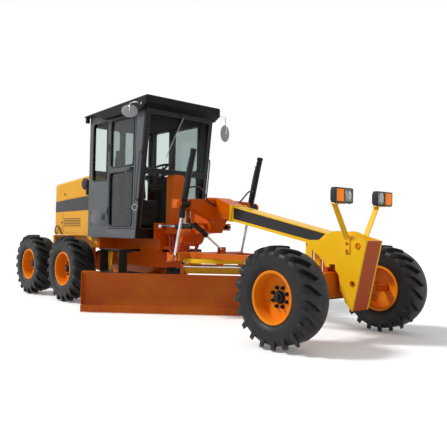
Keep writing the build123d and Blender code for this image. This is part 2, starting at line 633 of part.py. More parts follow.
BLADE_TOP = GROUND_GAP + BLADE_H
BLADE_MID = GROUND_GAP + BLADE_H / 2
BLADE_ENDS = (BLADE_SHIFT - BLADE_L / 2, BLADE_SHIFT + BLADE_L / 2)
EDGE_TOP = GROUND_GAP + EDGE_H
with BuildPart() as moldboard:
    with BuildSketch(Plane.XZ.offset(-BLADE_ENDS[1])) as face:
        with BuildLine():
            ThreePointArc(
                (BLADE_X, GROUND_GAP), (BLADE_X - BLADE_CURVE, BLADE_MID), (BLADE_X, BLADE_TOP),
            )
            Line((BLADE_X, BLADE_TOP), (BLADE_X - BLADE_T, BLADE_TOP))
            ThreePointArc(
                (BLADE_X - BLADE_T, BLADE_TOP), (BLADE_X - BLADE_CURVE - BLADE_T, BLADE_MID),
                (BLADE_X - BLADE_T, GROUND_GAP),
            )
            Line((BLADE_X - BLADE_T, GROUND_GAP), (BLADE_X, GROUND_GAP))
        make_face()
    extrude(face.sketch, amount=BLADE_L)
    block((BLADE_X - 60, BLADE_X + 1), BLADE_ENDS, (0, EDGE_TOP - 30), Mode.SUBTRACT)
    for rail_z in (150, 440):
        block((-75, -35), (BLADE_ENDS[0] + 120, BLADE_ENDS[1] - 120), (rail_z - 20, rail_z + 20))
    block((-10, 48), (-490, -450), (500, SIDE_Z + 24))
write(moldboard, "moldboard", BLADE_PLACE, BLADE_TURN)

with BuildPart() as cutting_edge:
    block((BLADE_X - EDGE_T, BLADE_X), BLADE_ENDS, (GROUND_GAP, EDGE_TOP - 30.5))
write(cutting_edge, "cutting_edge", BLADE_PLACE, BLADE_TURN)

SIDE_NOSE = 370.0
SIDE_END = 1010.0
SIDE_ROD = 18.0
with BuildPart() as side_barrel:
    bar((SIDE_X, SIDE_NOSE, SIDE_Z), (SIDE_X, SIDE_END, SIDE_Z), SIDE_R)
    bar(
        (SIDE_X, SIDE_NOSE - 1, SIDE_Z), (SIDE_X, SIDE_END - 30, SIDE_Z), SIDE_ROD + PIN_GAP,
        Mode.SUBTRACT,
    )
write(side_barrel, "side_shift_barrel", BLADE_PLACE, BLADE_TURN)
with BuildPart() as side_rod:
    bar((SIDE_X, -450, SIDE_Z), (SIDE_X, SIDE_NOSE + 160, SIDE_Z), SIDE_ROD)
write(side_rod, "side_shift_rod", BLADE_PLACE, BLADE_TURN)

# --- rear frame, axle and tandem cases --------------------------------------------------------------
EAR_TOP = HINGE_Z + TONGUE_H / 2 + END_GAP
EAR_LOW = HINGE_Z - TONGUE_H / 2 - END_GAP
WEB = (-3140.0, -3086.0)
CROSS_MEMBERS = (-3800.0, -4900.0, -5600.0, FRAME_REAR + 40)
with BuildPart() as rear_frame:
    for _, side in SIDES:
        block(
            (FRAME_REAR, WEB[0]), both(RAIL_Y - RAIL_W / 2, RAIL_Y + RAIL_W / 2, side),
            (RAIL_LOW, RAIL_TOP),
        )
        block(WEB, both(100, ARTIC_Y + 45, side), (RAIL_TOP, ARTIC_Z + 46))
        for low in (ARTIC_Z - EYE_T / 2 - 26, ARTIC_Z + EYE_T / 2 + 6):
            block((WEB[1] - 10, ARTIC_EYE_X), both(ARTIC_Y - 45, ARTIC_Y + 45, side), (low, low + 20))
            ring((ARTIC_EYE_X, side * ARTIC_Y, low + 10), (0, 0, 1), 45, 20)
        slab(
            (
                (-4360, RAIL_LOW), (-4360, RAIL_TOP), (-4800, RAIL_TOP), (-4740, 985), (-4560, 960),
                (-4460, 900),
            ),
            *both(RAIL_Y, 560, side),
        )
    block(WEB, (-260, 260), (EAR_LOW - HINGE_EAR_T, ARTIC_Z - 40))
    for low in (EAR_TOP, EAR_LOW - HINGE_EAR_T):
        deck(
            (
                (HINGE_X, -HINGE_EAR_R), (HINGE_X, HINGE_EAR_R), (WEB[1] + 40, 200), (WEB[0], 200),
                (WEB[0], -200), (WEB[1] + 40, -200),
            ),
            low, low + HINGE_EAR_T,
        )
        ring((HINGE_X, 0, low + HINGE_EAR_T / 2), (0, 0, 1), HINGE_EAR_R, HINGE_EAR_T)
    bar((HINGE_X, 0, EAR_LOW - 80), (HINGE_X, 0, EAR_TOP + 80), HINGE_R)
    for cross_x in CROSS_MEMBERS:
        block((cross_x - 40, cross_x + 40), (-RAIL_Y, RAIL_Y), (RAIL_LOW, RAIL_TOP - 20))
    block((FRAME_REAR - 30, FRAME_REAR + 30), (-HOOD_HALF, HOOD_HALF), (RAIL_LOW + 20, RAIL_TOP))
    for side in (-1, 1):
        block((FRAME_REAR - 130, FRAME_REAR - 20), both(45, 70, side), (880, 1000))
    bar((FRAME_REAR - 90, -100, 940), (FRAME_REAR - 90, 100, 940), 20, Mode.SUBTRACT)
    slab(
        (
            (-4250, BELLY_LOW + 40), (-4180, BELLY_LOW), (WEB[0], BELLY_LOW), (WEB[0], RAIL_LOW + 1),
            (-4250, RAIL_LOW + 1),
        ),
        -200, 200,
    )
write(rear_frame, "rear_frame")

CASE_IN = 560.0
CASE_OUT = 690.0
with BuildPart() as tandem_axle:
    bar((TANDEM_X, -CASE_IN - 10, 600), (TANDEM_X, CASE_IN + 10, 600), 95)
    with Locations((TANDEM_X, 0, 600)):
        Sphere(190)
    block((TANDEM_X - 100, TANDEM_X + 100), (-RAIL_Y - 40, -RAIL_Y + 40), (600, RAIL_LOW))
    block((TANDEM_X - 100, TANDEM_X + 100), (RAIL_Y - 40, RAIL_Y + 40), (600, RAIL_LOW))
    for _, side in SIDES:
        slab(
            (
                (REAR_AXLES[0] + 150, 450), (REAR_AXLES[0] + 150, 590), (REAR_AXLES[0] - 100, 680),
                (REAR_AXLES[1] + 100, 680), (REAR_AXLES[1] - 150, 590), (REAR_AXLES[1] - 150, 450),
                (REAR_AXLES[1] + 60, 390), (REAR_AXLES[0] - 60, 390),
            ),
            *both(CASE_IN, CASE_OUT, side),
        )
        for wheel_x in REAR_AXLES:
            bar((wheel_x, side * CASE_OUT, TYRE_R), (wheel_x, side * (CASE_OUT + 60), TYRE_R), 80)
            bar((wheel_x, side * CASE_OUT, TYRE_R), (wheel_x, side * SPINDLE_END, TYRE_R), SPINDLE_R)
write(tandem_axle, "tandem_axle")

with BuildPart() as engine:
    block(ENGINE[0], (-ENGINE[1], ENGINE[1]), (RAIL_LOW + 60, ENGINE[2]))
    for cross_x in CROSS_MEMBERS[1:3]:
        block(
            (cross_x - 40, cross_x + 40), (-ENGINE[1], ENGINE[1]), (RAIL_LOW, RAIL_TOP - 20),
            Mode.SUBTRACT,
        )
write(engine, "engine")

with BuildPart() as hood:
    slab(
        (
            (HOOD_FRONT, HOOD_LOW), (HOOD_FRONT, HOOD_FRONT_Z), (HOOD_REAR, HOOD_REAR_Z),
            (HOOD_REAR, HOOD_LOW),
        ),
        -HOOD_HALF, HOOD_HALF,
    )
    fillet(hood.edges().filter_by(Axis.X, tolerance=10).group_by(Axis.Z)[-1], 60)
    slab(
        (
            (HOOD_FRONT - HOOD_WALL, HOOD_LOW - 1), (HOOD_FRONT - HOOD_WALL, HOOD_FRONT_Z - 40),
            (HOOD_REAR + HOOD_WALL, HOOD_REAR_Z - 40), (HOOD_REAR + HOOD_WALL, HOOD_LOW - 1),
        ),
        -HOOD_HALF + HOOD_WALL, HOOD_HALF - HOOD_WALL, Mode.SUBTRACT,
    )
    block((HOOD_REAR - 1, HOOD_REAR + HOOD_WALL + 1), GRILLE_Y, GRILLE_Z, Mode.SUBTRACT)
    bar((STACK[0], STACK[1], HOOD_REAR_Z), (STACK[0], STACK[1], HOOD_FRONT_Z + 10), STACK_R, Mode.SUBTRACT)
    for _, side in SIDES:
        for i in range(LOUVRES):
            low = LOUVRE_LOW + i * LOUVRE_PITCH
            block(LOUVRE_X, both(HOOD_HALF - 1, HOOD_HALF + 12, side), (low, low + LOUVRE_PITCH / 2))
write(hood, "hood")

with BuildPart() as grille:
    block((HOOD_REAR + 16, HOOD_REAR + HOOD_WALL), GRILLE_Y, GRILLE_Z)
    for i in range(GRILLE_BARS):
        low = GRILLE_Z[0] + i * (GRILLE_Z[1] - GRILLE_Z[0] - GRILLE_BAR) / (GRILLE_BARS - 1)
        block((HOOD_REAR, HOOD_REAR + 17), GRILLE_Y, (low, low + GRILLE_BAR))
write(grille, "radiator_grille")

with BuildPart() as steps:
    for _, side in SIDES:
        for plate_x in (-3940, -3400):
            block((plate_x, plate_x + 20), both(CAB_HALF + 20, CAB_HALF + 160, side), (490, 862))
        for tread_z in (500, 845):
            block((-3930, -3390), both(CAB_HALF + 20, CAB_HALF + 160, side), (tread_z, tread_z + 17))
        block((-3940, -3380), both(CAB_HALF - 60, CAB_HALF + 30, side), (820, 862))
        block((-3700, -3620), both(RAIL_Y + RAIL_W / 2, CAB_HALF - 40, side), (830, 862))
write(steps, "boarding_steps")

# --- cab --------------------------------------------------------------------------------------------
def front_x(z, inset=0.0):
    """X of the cab's sloping front face at a height, moved back by an inset."""
    return CAB_FRONT + (CAB_TOP_FRONT - CAB_FRONT) * (z - CAB_LOW) / (CAB_TOP - CAB_LOW) - inset


with BuildPart() as cab_floor:
    deck(
        (
            (CAB_REAR, -CAB_HALF), (CAB_REAR, CAB_HALF), (CAB_FRONT, CAB_HALF), (CAB_FRONT, -CAB_HALF),
        ),
        CAB_LOW - 10, CAB_LOW + FLOOR_T - 10,
    )
write(cab_floor, "cab_floor")

WALL_LOW = CAB_LOW + FLOOR_T - 10
SIDE_WINDOW = ((-4530.0, -4080.0), (1945.0, 2880.0))
FRONT_WINDOWS = ((2070.0, 2870.0), (1180.0, 2000.0))
REAR_WINDOWS = ((2130.0, 2860.0), (1400.0, 2060.0))
REAR_WINDOW_Y = (40.0, 550.0)
FRONT_WINDOW_Y = (-560.0, 560.0)
SLOPE = (CAB_TOP_FRONT - CAB_FRONT) / (CAB_TOP - CAB_LOW)
FRONT_FOOT = CAB_FRONT - SLOPE * CAB_LOW
with BuildPart() as cab_frame:
    slab(
        (
            (CAB_REAR, WALL_LOW), (CAB_REAR, ROOF_LIP), (ROOF_KNEE[0], ROOF_LIP), (ROOF_KNEE[1], CAB_TOP),
            (CAB_TOP_FRONT, CAB_TOP), (front_x(WALL_LOW), WALL_LOW),
        ),
        -CAB_HALF, CAB_HALF,
    )
    slab(
        (
            (CAB_REAR + CAB_WALL, WALL_LOW - 1), (CAB_REAR + CAB_WALL, ROOF_LIP + 1),
            (front_x(ROOF_LIP + 1, CAB_WALL), ROOF_LIP + 1), (front_x(WALL_LOW - 1, CAB_WALL), WALL_LOW - 1),
        ),
        -CAB_HALF + CAB_WALL, CAB_HALF - CAB_WALL, Mode.SUBTRACT,
    )
    block((DOOR_REAR, DOOR_FRONT), (-700, 700), (DOOR_LOW, DOOR_TOP), Mode.SUBTRACT)
    side_pane(SIDE_WINDOW[0], (-700, 700), SIDE_WINDOW[1], Mode.SUBTRACT)
    for heights in REAR_WINDOWS:
        for _, side in SIDES:
            end_pane(
                CAB_REAR + CAB_WALL, -1, CAB_WALL + 2, both(*REAR_WINDOW_Y, side), heights,
                mode=Mode.SUBTRACT,
            )
    for heights in FRONT_WINDOWS:
        end_pane(FRONT_FOOT, -9, CAB_WALL + 25, FRONT_WINDOW_Y, heights, SLOPE, Mode.SUBTRACT)
write(cab_frame, "cab_frame")

with BuildPart() as cab_glass:
    for _, side in SIDES:
        side_pane(SIDE_WINDOW[0], both(CAB_HALF - 26, CAB_HALF - 26 + GLASS_T, side), SIDE_WINDOW[1])
        for heights in REAR_WINDOWS:
            end_pane(CAB_REAR + CAB_WALL, 22, GLASS_T, both(*REAR_WINDOW_Y, side), heights)
    for heights in FRONT_WINDOWS:
        end_pane(FRONT_FOOT, 16, GLASS_T, FRONT_WINDOW_Y, heights, SLOPE)
write(cab_glass, "cab_glass")

with BuildPart() as cab_roof:
    slab(
        (
            (ROOF_FRONT, ROOF_VISOR), (ROOF_FRONT, ROOF_TOP), (ROOF_REAR, ROOF_TOP_REAR),
            (ROOF_REAR, ROOF_LIP), (ROOF_KNEE[0], ROOF_LIP), (ROOF_KNEE[1], CAB_TOP),
            (CAB_TOP_FRONT, CAB_TOP),
        ),
        -ROOF_HALF, ROOF_HALF,
    )
    fillet(cab_roof.edges().filter_by(Axis.Z).group_by(Axis.X)[-1], 40)
    fillet(cab_roof.faces().sort_by(Axis.Z)[-1].edges(), 24)
    for _, side in SIDES:
        block(
            (ROOF_KNEE[1], CAB_TOP_FRONT - 20), both(CAB_HALF + 2, ROOF_HALF, side),
            (ROOF_SKIRT, CAB_TOP + 1),
        )
write(cab_roof, "cab_roof")

DOOR_WINDOWS = (
    # x, z: above and below the handle
    ((-3960.0, -3300.0), (2130.0, 2860.0)), ((-3975.0, -3320.0), (1215.0, 2045.0)),
)
DOOR_IN = CAB_HALF - CAB_WALL
for name, side in SIDES:
    with BuildPart() as door:
        block(
            (DOOR_REAR + DOOR_GAP, DOOR_FRONT - DOOR_GAP), both(DOOR_IN, CAB_HALF, side),
            (DOOR_LOW + DOOR_GAP, DOOR_TOP - DOOR_GAP),
        )
        for xs, zs in DOOR_WINDOWS:
            side_pane(xs, both(DOOR_IN - 1, CAB_HALF + 1, side), zs, Mode.SUBTRACT)
        block((-3330, -3310), both(CAB_HALF - 5, CAB_HALF + 45, side), (2068, 2088))
        block((-3440, -3310), both(CAB_HALF + 30, CAB_HALF + 45, side), (2068, 2088))
    write(door, f"door_{name}")
    with BuildPart() as door_glass:
        for xs, zs in DOOR_WINDOWS:
            side_pane(xs, both(CAB_HALF - 26, CAB_HALF - 26 + GLASS_T, side), zs)
    write(door_glass, f"door_glass_{name}")

with BuildPart() as seat:
    block((SEAT_X - 230, SEAT_X + 230), (-240, 240), (1520, 1640))
    slab(
        ((SEAT_X - 230, 1640), (SEAT_X - 110, 1640), (SEAT_X - 190, 2240), (SEAT_X - 290, 2240)),
        -230, 230,
    )
write(seat, "seat")
with BuildPart() as seat_base:
    block((SEAT_X - 180, SEAT_X + 180), (-180, 180), (WALL_LOW, 1520))
write(seat_base, "seat_base")

with BuildPart() as console:
    slab(
        ((-3360, WALL_LOW), (-3270, WALL_LOW), (-3300, 1950), (-3460, 2010), (-3440, 1900)), -110, 110,
    )
    with BuildSketch(Plane(origin=(-3440, 0, 2090), z_dir=(-0.45, 0, 0.89))):
        Circle(190)
        Circle(165, mode=Mode.SUBTRACT)
        Rectangle(345, 26)
    extrude(amount=24)
    bar((-3400, 0, 1950), (-3440, 0, 2092), 22)
write(console, "console")

with BuildPart() as tower:
    block(TOWER[0], TOWER[1], (EAR_TOP + HINGE_EAR_T, TOWER[2]))
    fillet(tower.edges().filter_by(Axis.X).group_by(Axis.Z)[-1], 45)
    bar((HINGE_X, 0, EAR_TOP), (HINGE_X, 0, EAR_TOP + 90), HINGE_R + 20, Mode.SUBTRACT)
write(tower, "valve_tower")

MIRRORS = (
    # middle, way its back faces, half width, half height, x of the arm's foot
    ((-2925.0, 850.0, 2735.0), (1.0, 0.0), 92.0, 135.0, -2912.0),
    ((-3145.0, -805.0, 2880.0), (0.8, -0.6), 118.0, 92.0, -3008.0),
)
with BuildPart() as mirrors:
    for (x, y, z), (face_x, face_y), half_w, half_h, foot_x in MIRRORS:
        out = math.copysign(1, y)
        plane = Plane(origin=(x, y, z), x_dir=(-face_y, face_x, 0), z_dir=(face_x, face_y, 0))
        with BuildSketch(plane) as face:
            RectangleRounded(2 * half_w, 2 * half_h, 0.94 * min(half_w, half_h))
        extrude(face.sketch, amount=26)
        x, y = x + 13 * face_x, y + 13 * face_y
        run = (MIRROR_Z - MIRROR_ARM, MIRROR_Z + MIRROR_ARM)
        block((x - MIRROR_ARM, x + MIRROR_ARM), (y - MIRROR_ARM, y + MIRROR_ARM), (z, run[1]))
        block((x - MIRROR_ARM, foot_x + MIRROR_ARM), (y - MIRROR_ARM, y + MIRROR_ARM), run)
        block((foot_x - MIRROR_ARM, foot_x + MIRROR_ARM), (out * ROOF_HALF, y + out * MIRROR_ARM), run)
write(mirrors, "mirrors")

with BuildPart() as fittings:
    for _, side in SIDES:
        ends = [(front_x(z, RAIL_INSET), side * GRAB_RAIL_Y, z) for z in GRAB_RAIL_Z]
        for x, y, z in ends:
            bar((x, side * CAB_HALF, z), (x, y, z), GRAB_RAIL_R)
            with Locations((x, y, z)):
                Sphere(GRAB_RAIL_R)
        bar(*ends, GRAB_RAIL_R)
        lamp = (SIDE_LAMP[0], side * SIDE_LAMP[1], SIDE_LAMP[2])
        ring(lamp, (0.8, side * 0.6, 0), SIDE_LAMP_R, 32)
        bar((lamp[0] - 12, side * CAB_HALF, lamp[2]), (lamp[0] - 12, side * (SIDE_LAMP[1] - 10), lamp[2]), 14)
        block(WORK_LAMP[0], both(*WORK_LAMP[1], side), (WORK_LAMP[2], ROOF_LIP))
        ring((AIR_CAP[0], side * AIR_CAP[1], AIR_CAP[2]), (0, 1, 0), AIR_CAP_R, 46)
        block(
            (AIR_CAP[0] + 40, AIR_CAP[0] + 90), both(HOOD_HALF, AIR_CAP[1], side),
            (AIR_CAP[2] - 190, AIR_CAP[2]),
        )
write(fittings, "body_fittings")

with BuildPart() as exhaust:
    bar((STACK[0], STACK[1], HOOD_REAR_Z), (STACK[0], STACK[1], STACK[2]), STACK_R)
    bar((STACK[0], STACK[1], MUFFLER[0]), (STACK[0], STACK[1], MUFFLER[1]), MUFFLER[2])
write(exhaust, "exhaust_stack")
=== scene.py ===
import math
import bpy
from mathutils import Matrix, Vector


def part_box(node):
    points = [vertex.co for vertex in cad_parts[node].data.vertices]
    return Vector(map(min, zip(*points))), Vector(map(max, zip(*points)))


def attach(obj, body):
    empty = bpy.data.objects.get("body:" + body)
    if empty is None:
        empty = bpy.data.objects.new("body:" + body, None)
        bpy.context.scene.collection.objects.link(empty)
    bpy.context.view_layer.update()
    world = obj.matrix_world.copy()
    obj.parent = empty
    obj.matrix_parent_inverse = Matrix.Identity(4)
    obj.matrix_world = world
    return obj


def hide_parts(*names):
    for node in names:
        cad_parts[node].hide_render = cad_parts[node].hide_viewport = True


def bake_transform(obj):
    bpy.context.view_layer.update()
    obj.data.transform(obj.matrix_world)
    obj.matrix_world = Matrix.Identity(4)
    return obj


bl_info = {
    "name": "Motor grader",
    "version": (1, 0, 0),
    "blender": (4, 5, 0),
    "location": "3D View > Sidebar > Grader",
    "description": "Dresses the frame of an articulated motor grader with tyres, lamps, trim and finishes",
    "category": "Add Mesh",
}

import bmesh
import bpy
from mathutils import Matrix, Vector

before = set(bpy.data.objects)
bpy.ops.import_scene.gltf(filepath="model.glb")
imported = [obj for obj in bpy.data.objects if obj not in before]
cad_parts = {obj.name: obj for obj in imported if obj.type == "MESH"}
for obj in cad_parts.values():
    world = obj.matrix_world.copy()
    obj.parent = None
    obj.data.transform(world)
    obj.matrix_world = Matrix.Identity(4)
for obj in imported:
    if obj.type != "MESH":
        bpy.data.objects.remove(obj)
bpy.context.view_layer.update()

# ---------------------------------------------------------------- places, in metres
SIDES = (("left", 1), ("right", -1))
BOTH = (1, -1)
WHEELS = [f"{row}_{side}" for row in ("front", "middle", "rear") for side, _ in SIDES]
HUBS = {name: sum(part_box(f"rim_{name}"), Vector()) / 2 for name in WHEELS}
AXLE_X = HUBS["front_left"].x
MIDDLE_Y = (HUBS["front_left"].y + HUBS["front_right"].y) / 2
BLADE_TURN = math.radians(-44.4)
CIRCLE_X = -2.1
CAB_HALF = 0.62
CAB_FRONT = (-3.2, 1.045)
CAB_FRONT_TOP = (-2.972, 2.93)
CAB_SLOPE = (CAB_FRONT_TOP[0] - CAB_FRONT[0]) / (CAB_FRONT_TOP[1] - CAB_FRONT[1])
CAB_BACK = -4.645
HOOD_HALF = 0.5
BEAM_HALF = 0.125
PLATE_OUT = 0.15


def at(x, y, z):
    """A place given forward of the front axle, left of the middle and up from the ground."""
    return Vector((AXLE_X + x, MIDDLE_Y + y, z))


def on_side(side, skin=0.0):
    """Places on the left (1) or right (-1) side, their y given outward from a skin of the machine."""
    return lambda x, y, z: at(x, side * (skin + y), z)


def on_blade(x, y, z):
    """A place given in the turned blade's own directions, from the middle of the circle."""
    turned = Matrix.Rotation(BLADE_TURN, 3, "Z") @ Vector((x, y, z))
    return at(CIRCLE_X + turned.x, turned.y, turned.z)


def cab_front(z, out=0.0):
    """How far forward the sloping front of the cab is at a height."""
    return CAB_FRONT[0] + CAB_SLOPE * (z - CAB_FRONT[1]) + out


def four(a_low, a_high, b_low, b_high):
    """The four corners of a rectangle, in turn."""
    return (a_low, b_low), (a_high, b_low), (a_high, b_high), (a_low, b_high)


# ---------------------------------------------------------------- finishes
def linear(code):
    """A colour written as sRGB hex, as the linear values the shaders take."""
    parts = [int(code[i:i + 2], 16) / 255 for i in (0, 2, 4)]
    return (*[c / 12.92 if c <= 0.04045 else ((c + 0.055) / 1.055) ** 2.4 for c in parts], 1.0)


def fill(tree, node, inputs):
    """Sets a node's inputs, or links them to a socket or to another node's first output in use."""
    for key, value in inputs.items():
        if isinstance(value, bpy.types.Node):
            value = next(socket for socket in value.outputs if socket.enabled)
        if isinstance(value, bpy.types.NodeSocket):
            tree.links.new(value, node.inputs[key])
        else:
            node.inputs[key].default_value = value


def add_node(tree, kind, inputs=(), **settings):
    """Adds one shader node, with its settings and inputs."""
    node = tree.nodes.new("ShaderNode" + kind)
    for key, value in settings.items():
        setattr(node, key, value)
    fill(tree, node, dict(inputs))
    return node


def new_finish(name, sockets):
    """An empty material with its shader, whose even values are set on the shader itself."""
    material = bpy.data.materials.new(name)
    material.use_nodes = True
    tree = material.node_tree
    tree.nodes.clear()
    shader = add_node(tree, "BsdfPrincipled", sockets)
    add_node(tree, "OutputMaterial", {"Surface": shader})
    return material, tree, shader, add_node(tree, "TexCoord").outputs["Object"]


def patches(tree, place, size, low, high, detail=4.0, bottom=0.0, top=1.0):
    """A soft pattern of patches about size metres across, from bottom at low to top at high."""
    noise = add_node(tree, "TexNoise", {"Vector": place, "Scale": 1 / size, "Detail": detail})
    return add_node(tree, "MapRange", {
        "Value": noise, "From Min": low, "From Max": high, "To Min": bottom, "To Max": top})


def enamel(name, colour, faded, dust, coat=0.05, rough=0.36, sheen=0.15, mask=None, other=None):
    """Two-pack machine enamel, sprayed: glossy, slightly uneven, faded in patches, dusty low down.

    Where the mask is 1 the other colour takes its place; on the beam, chassis and nose that colour is painted
    shade.
    """
    material, tree, shader, place = new_finish(name, {
        "Coat Weight": coat, "Coat Roughness": 0.12, "IOR": 1.5, "Specular IOR Level": sheen})
    fade = add_node(tree, "Mix", {
        "Factor": patches(tree, place, 0.45, 0.35, 0.75), "A": linear(colour), "B": linear(faded),
    }, data_type="RGBA")
    height = add_node(tree, "SeparateXYZ", {"Vector": place}).outputs["Z"]
    low_down = add_node(tree, "MapRange", {
        "Value": height, "From Min": 0.05, "From Max": 1.1, "To Min": 0.14, "To Max": 0.01})
    settled = add_node(tree, "Math", {
        0: low_down, 1: patches(tree, place, 0.07, 0.3, 0.75, 8.0)}, operation="MULTIPLY")
    tone = add_node(tree, "Mix", {"Factor": settled, "A": fade, "B": linear(dust)}, data_type="RGBA")
    if mask:
        tone = add_node(tree, "Mix", {"Factor": mask(tree, place), "A": tone, "B": linear(other)},
                        data_type="RGBA")
    gloss = add_node(tree, "MapRange", {"Value": settled, "To Min": rough, "To Max": 0.85})
    # Orange peel is about 1 mm across, drawn at 4 mm so that it shows.
    peel = add_node(tree, "TexNoise", {"Vector": place, "Scale": 250.0, "Detail": 2.0})
    bump = add_node(tree, "Bump", {"Height": peel, "Strength": 0.05, "Distance": 0.001})
    fill(tree, shader, {"Base Color": tone, "Roughness": gloss, "Normal": bump})
    return material


def within(axis, middle, reach):
    """A mask that is 1 where a place is within a reach of a middle, along an axis."""
    def mask(tree, place):
        along = add_node(tree, "SeparateXYZ", {"Vector": place}).outputs[axis]
        off = add_node(tree, "Math", {0: along, 1: middle}, operation="SUBTRACT")
        away = add_node(tree, "Math", {0: off}, operation="ABSOLUTE")
        return add_node(tree, "Math", {0: away, 1: reach}, operation="LESS_THAN")
    return mask


def cab_black(tree, place):
    """A mask of the cab's front posts, ahead of a line that slopes with them, and of its inside."""
    parts = add_node(tree, "SeparateXYZ", {"Vector": place})
    lean = add_node(tree, "Math", {0: parts.outputs["Z"], 1: -CAB_SLOPE, 2: parts.outputs["X"]},
                    operation="MULTIPLY_ADD")
    front = add_node(tree, "Math", {0: lean, 1: at(cab_front(0.0, -0.03), 0, 0).x},
                     operation="GREATER_THAN")
    back = add_node(tree, "Math", {0: parts.outputs["X"], 1: at(CAB_BACK, 0, 0).x},
                    operation="GREATER_THAN")
    inner = within("Y", MIDDLE_Y, CAB_HALF - 0.004)(tree, place)
    inside = add_node(tree, "Math", {0: inner, 1: back}, operation="MULTIPLY")
    return add_node(tree, "Math", {0: front, 1: inside}, operation="MAXIMUM")


def mottled(name, colours, patch, gloss, sockets, grain=None):
    """A finish that varies softly between two colours and between smooth and rough, over a fine grain."""
    material, tree, shader, place = new_finish(name, sockets)
    size, low, high, detail, most = patch
    tone = add_node(tree, "Mix", {
        "Factor": patches(tree, place, size, low, high, detail, top=most),
        "A": linear(colours[0]), "B": linear(colours[1]),
    }, data_type="RGBA")
    size, smooth, rough = gloss
    fill(tree, shader, {
        "Base Color": tone, "Roughness": patches(tree, place, size, 0.3, 0.7, bottom=smooth, top=rough)})
    if grain:
        kind, inputs, strength, depth = grain
        height = add_node(tree, kind, {"Vector": place, **inputs})
        bump = add_node(tree, "Bump", {"Height": height, "Strength": strength, "Distance": depth})
        fill(tree, shader, {"Normal": bump})
    return material


def tyre_rubber(name, colour, dusty, smooth, rough):
    """Carbon-black tyre rubber, moulded: satin where it is smooth, greyer in patches; its lighter copy on the
    lug tops is road wear and a painted highlight.
    """
    # The mould's grain is under 1 mm, drawn at 5 mm.
    return mottled(name, (colour, dusty), (0.03, 0.42, 0.9, 8.0, 1.0), (0.12, smooth, rough),
                   {"IOR": 1.52, "Specular IOR Level": 0.3},
                   ("TexNoise", {"Scale": 200.0, "Detail": 3.0}, 0.25, 0.002))


def plain_rubber(name, colour):
    """Extruded EPDM or hose rubber: even in colour, satin, duller where hands and dust have been."""
    return mottled(name, (colour, "3A3A3A"), (0.02, 0.3, 0.8, 4.0, 0.25), (0.05, 0.38, 0.6), {"IOR": 1.5})


def metal(name, colour, darker, smooth, rough):
    """Bare or plated metal: rolled, ground or plated, its gloss broken by handling marks 4 mm long."""
    return mottled(name, (colour, darker), (0.05, 0.35, 0.75, 6.0, 1.0), (0.004, smooth, rough),
                   {"Metallic": 1.0})


def moulded(name, colour, worn, rough=0.5, sheen=0.35):
    """Injection-moulded ABS or nylon with a fine spark-eroded grain."""
    # The grain is about 0.3 mm, drawn at 2 mm.
    return mottled(name, (colour, worn), (0.08, 0.4, 0.9, 4.0, 1.0), (0.06, rough - 0.06, rough + 0.1),
                   {"IOR": 1.53, "Specular IOR Level": sheen},
                   ("TexVoronoi", {"Scale": 500.0}, 0.15, 0.0006))


def pane(name, colour, clear, rough, film, ior=1.4, glow=0.0):
    """Glass or acrylic: clear right through, with a little dust film that dulls its gloss in patches, and a
    glow, where one is given, that is painted light.
    """
    material, tree, shader, place = new_finish(name, {
        "IOR": ior, "Transmission Weight": clear, "Specular IOR Level": 0.3,
        "Base Color": linear(colour), "Emission Color": linear(colour), "Emission Strength": glow})
    fill(tree, shader, {"Roughness": patches(tree, place, 0.3, 0.4, 0.8, bottom=rough, top=rough + film)})
    return material


def seat_cloth():
    """Woven polyester seat cloth: threads about 1.5 mm apart, drawn at 4 mm, with a soft sheen."""
    material, tree, shader, place = new_finish("SeatCloth", {"Sheen Weight": 0.4, "Roughness": 0.85})
    weft, warp = (
        add_node(tree, "TexWave", {"Vector": place, "Scale": 80.0, "Distortion": 0.4},
                 bands_direction=way).outputs["Fac"] for way in "YX")
    both = add_node(tree, "Math", {0: weft, 1: warp}, operation="MULTIPLY")
    tone = add_node(tree, "Mix", {"Factor": both, "A": linear("17181B"), "B": linear("3B3D42")},
                    data_type="RGBA")
    bump = add_node(tree, "Bump", {"Height": both, "Strength": 0.4, "Distance": 0.002})
    fill(tree, shader, {"Base Color": tone, "Normal": bump})
    return material


FINISHES = {}
SLOTS = {
    **dict.fromkeys(("orange", "hood", "rim", "blade", "red_hose"), "machine_paint"),
    **dict.fromkeys(("black", "stripe", "seal", "hose", "plastic", "liner"), "dark_paint"),
    **dict.fromkeys(("grey", "silver"), "cab_grey"),
    **dict.fromkeys(("chrome", "mirror"), "chrome_rod"),
    **dict.fromkeys(("zinc", "steel"), "worn_steel"),
    **dict.fromkeys(("clear", "amber"), "lamp_glass"),
    "tyre": "tyre_rubber",
}


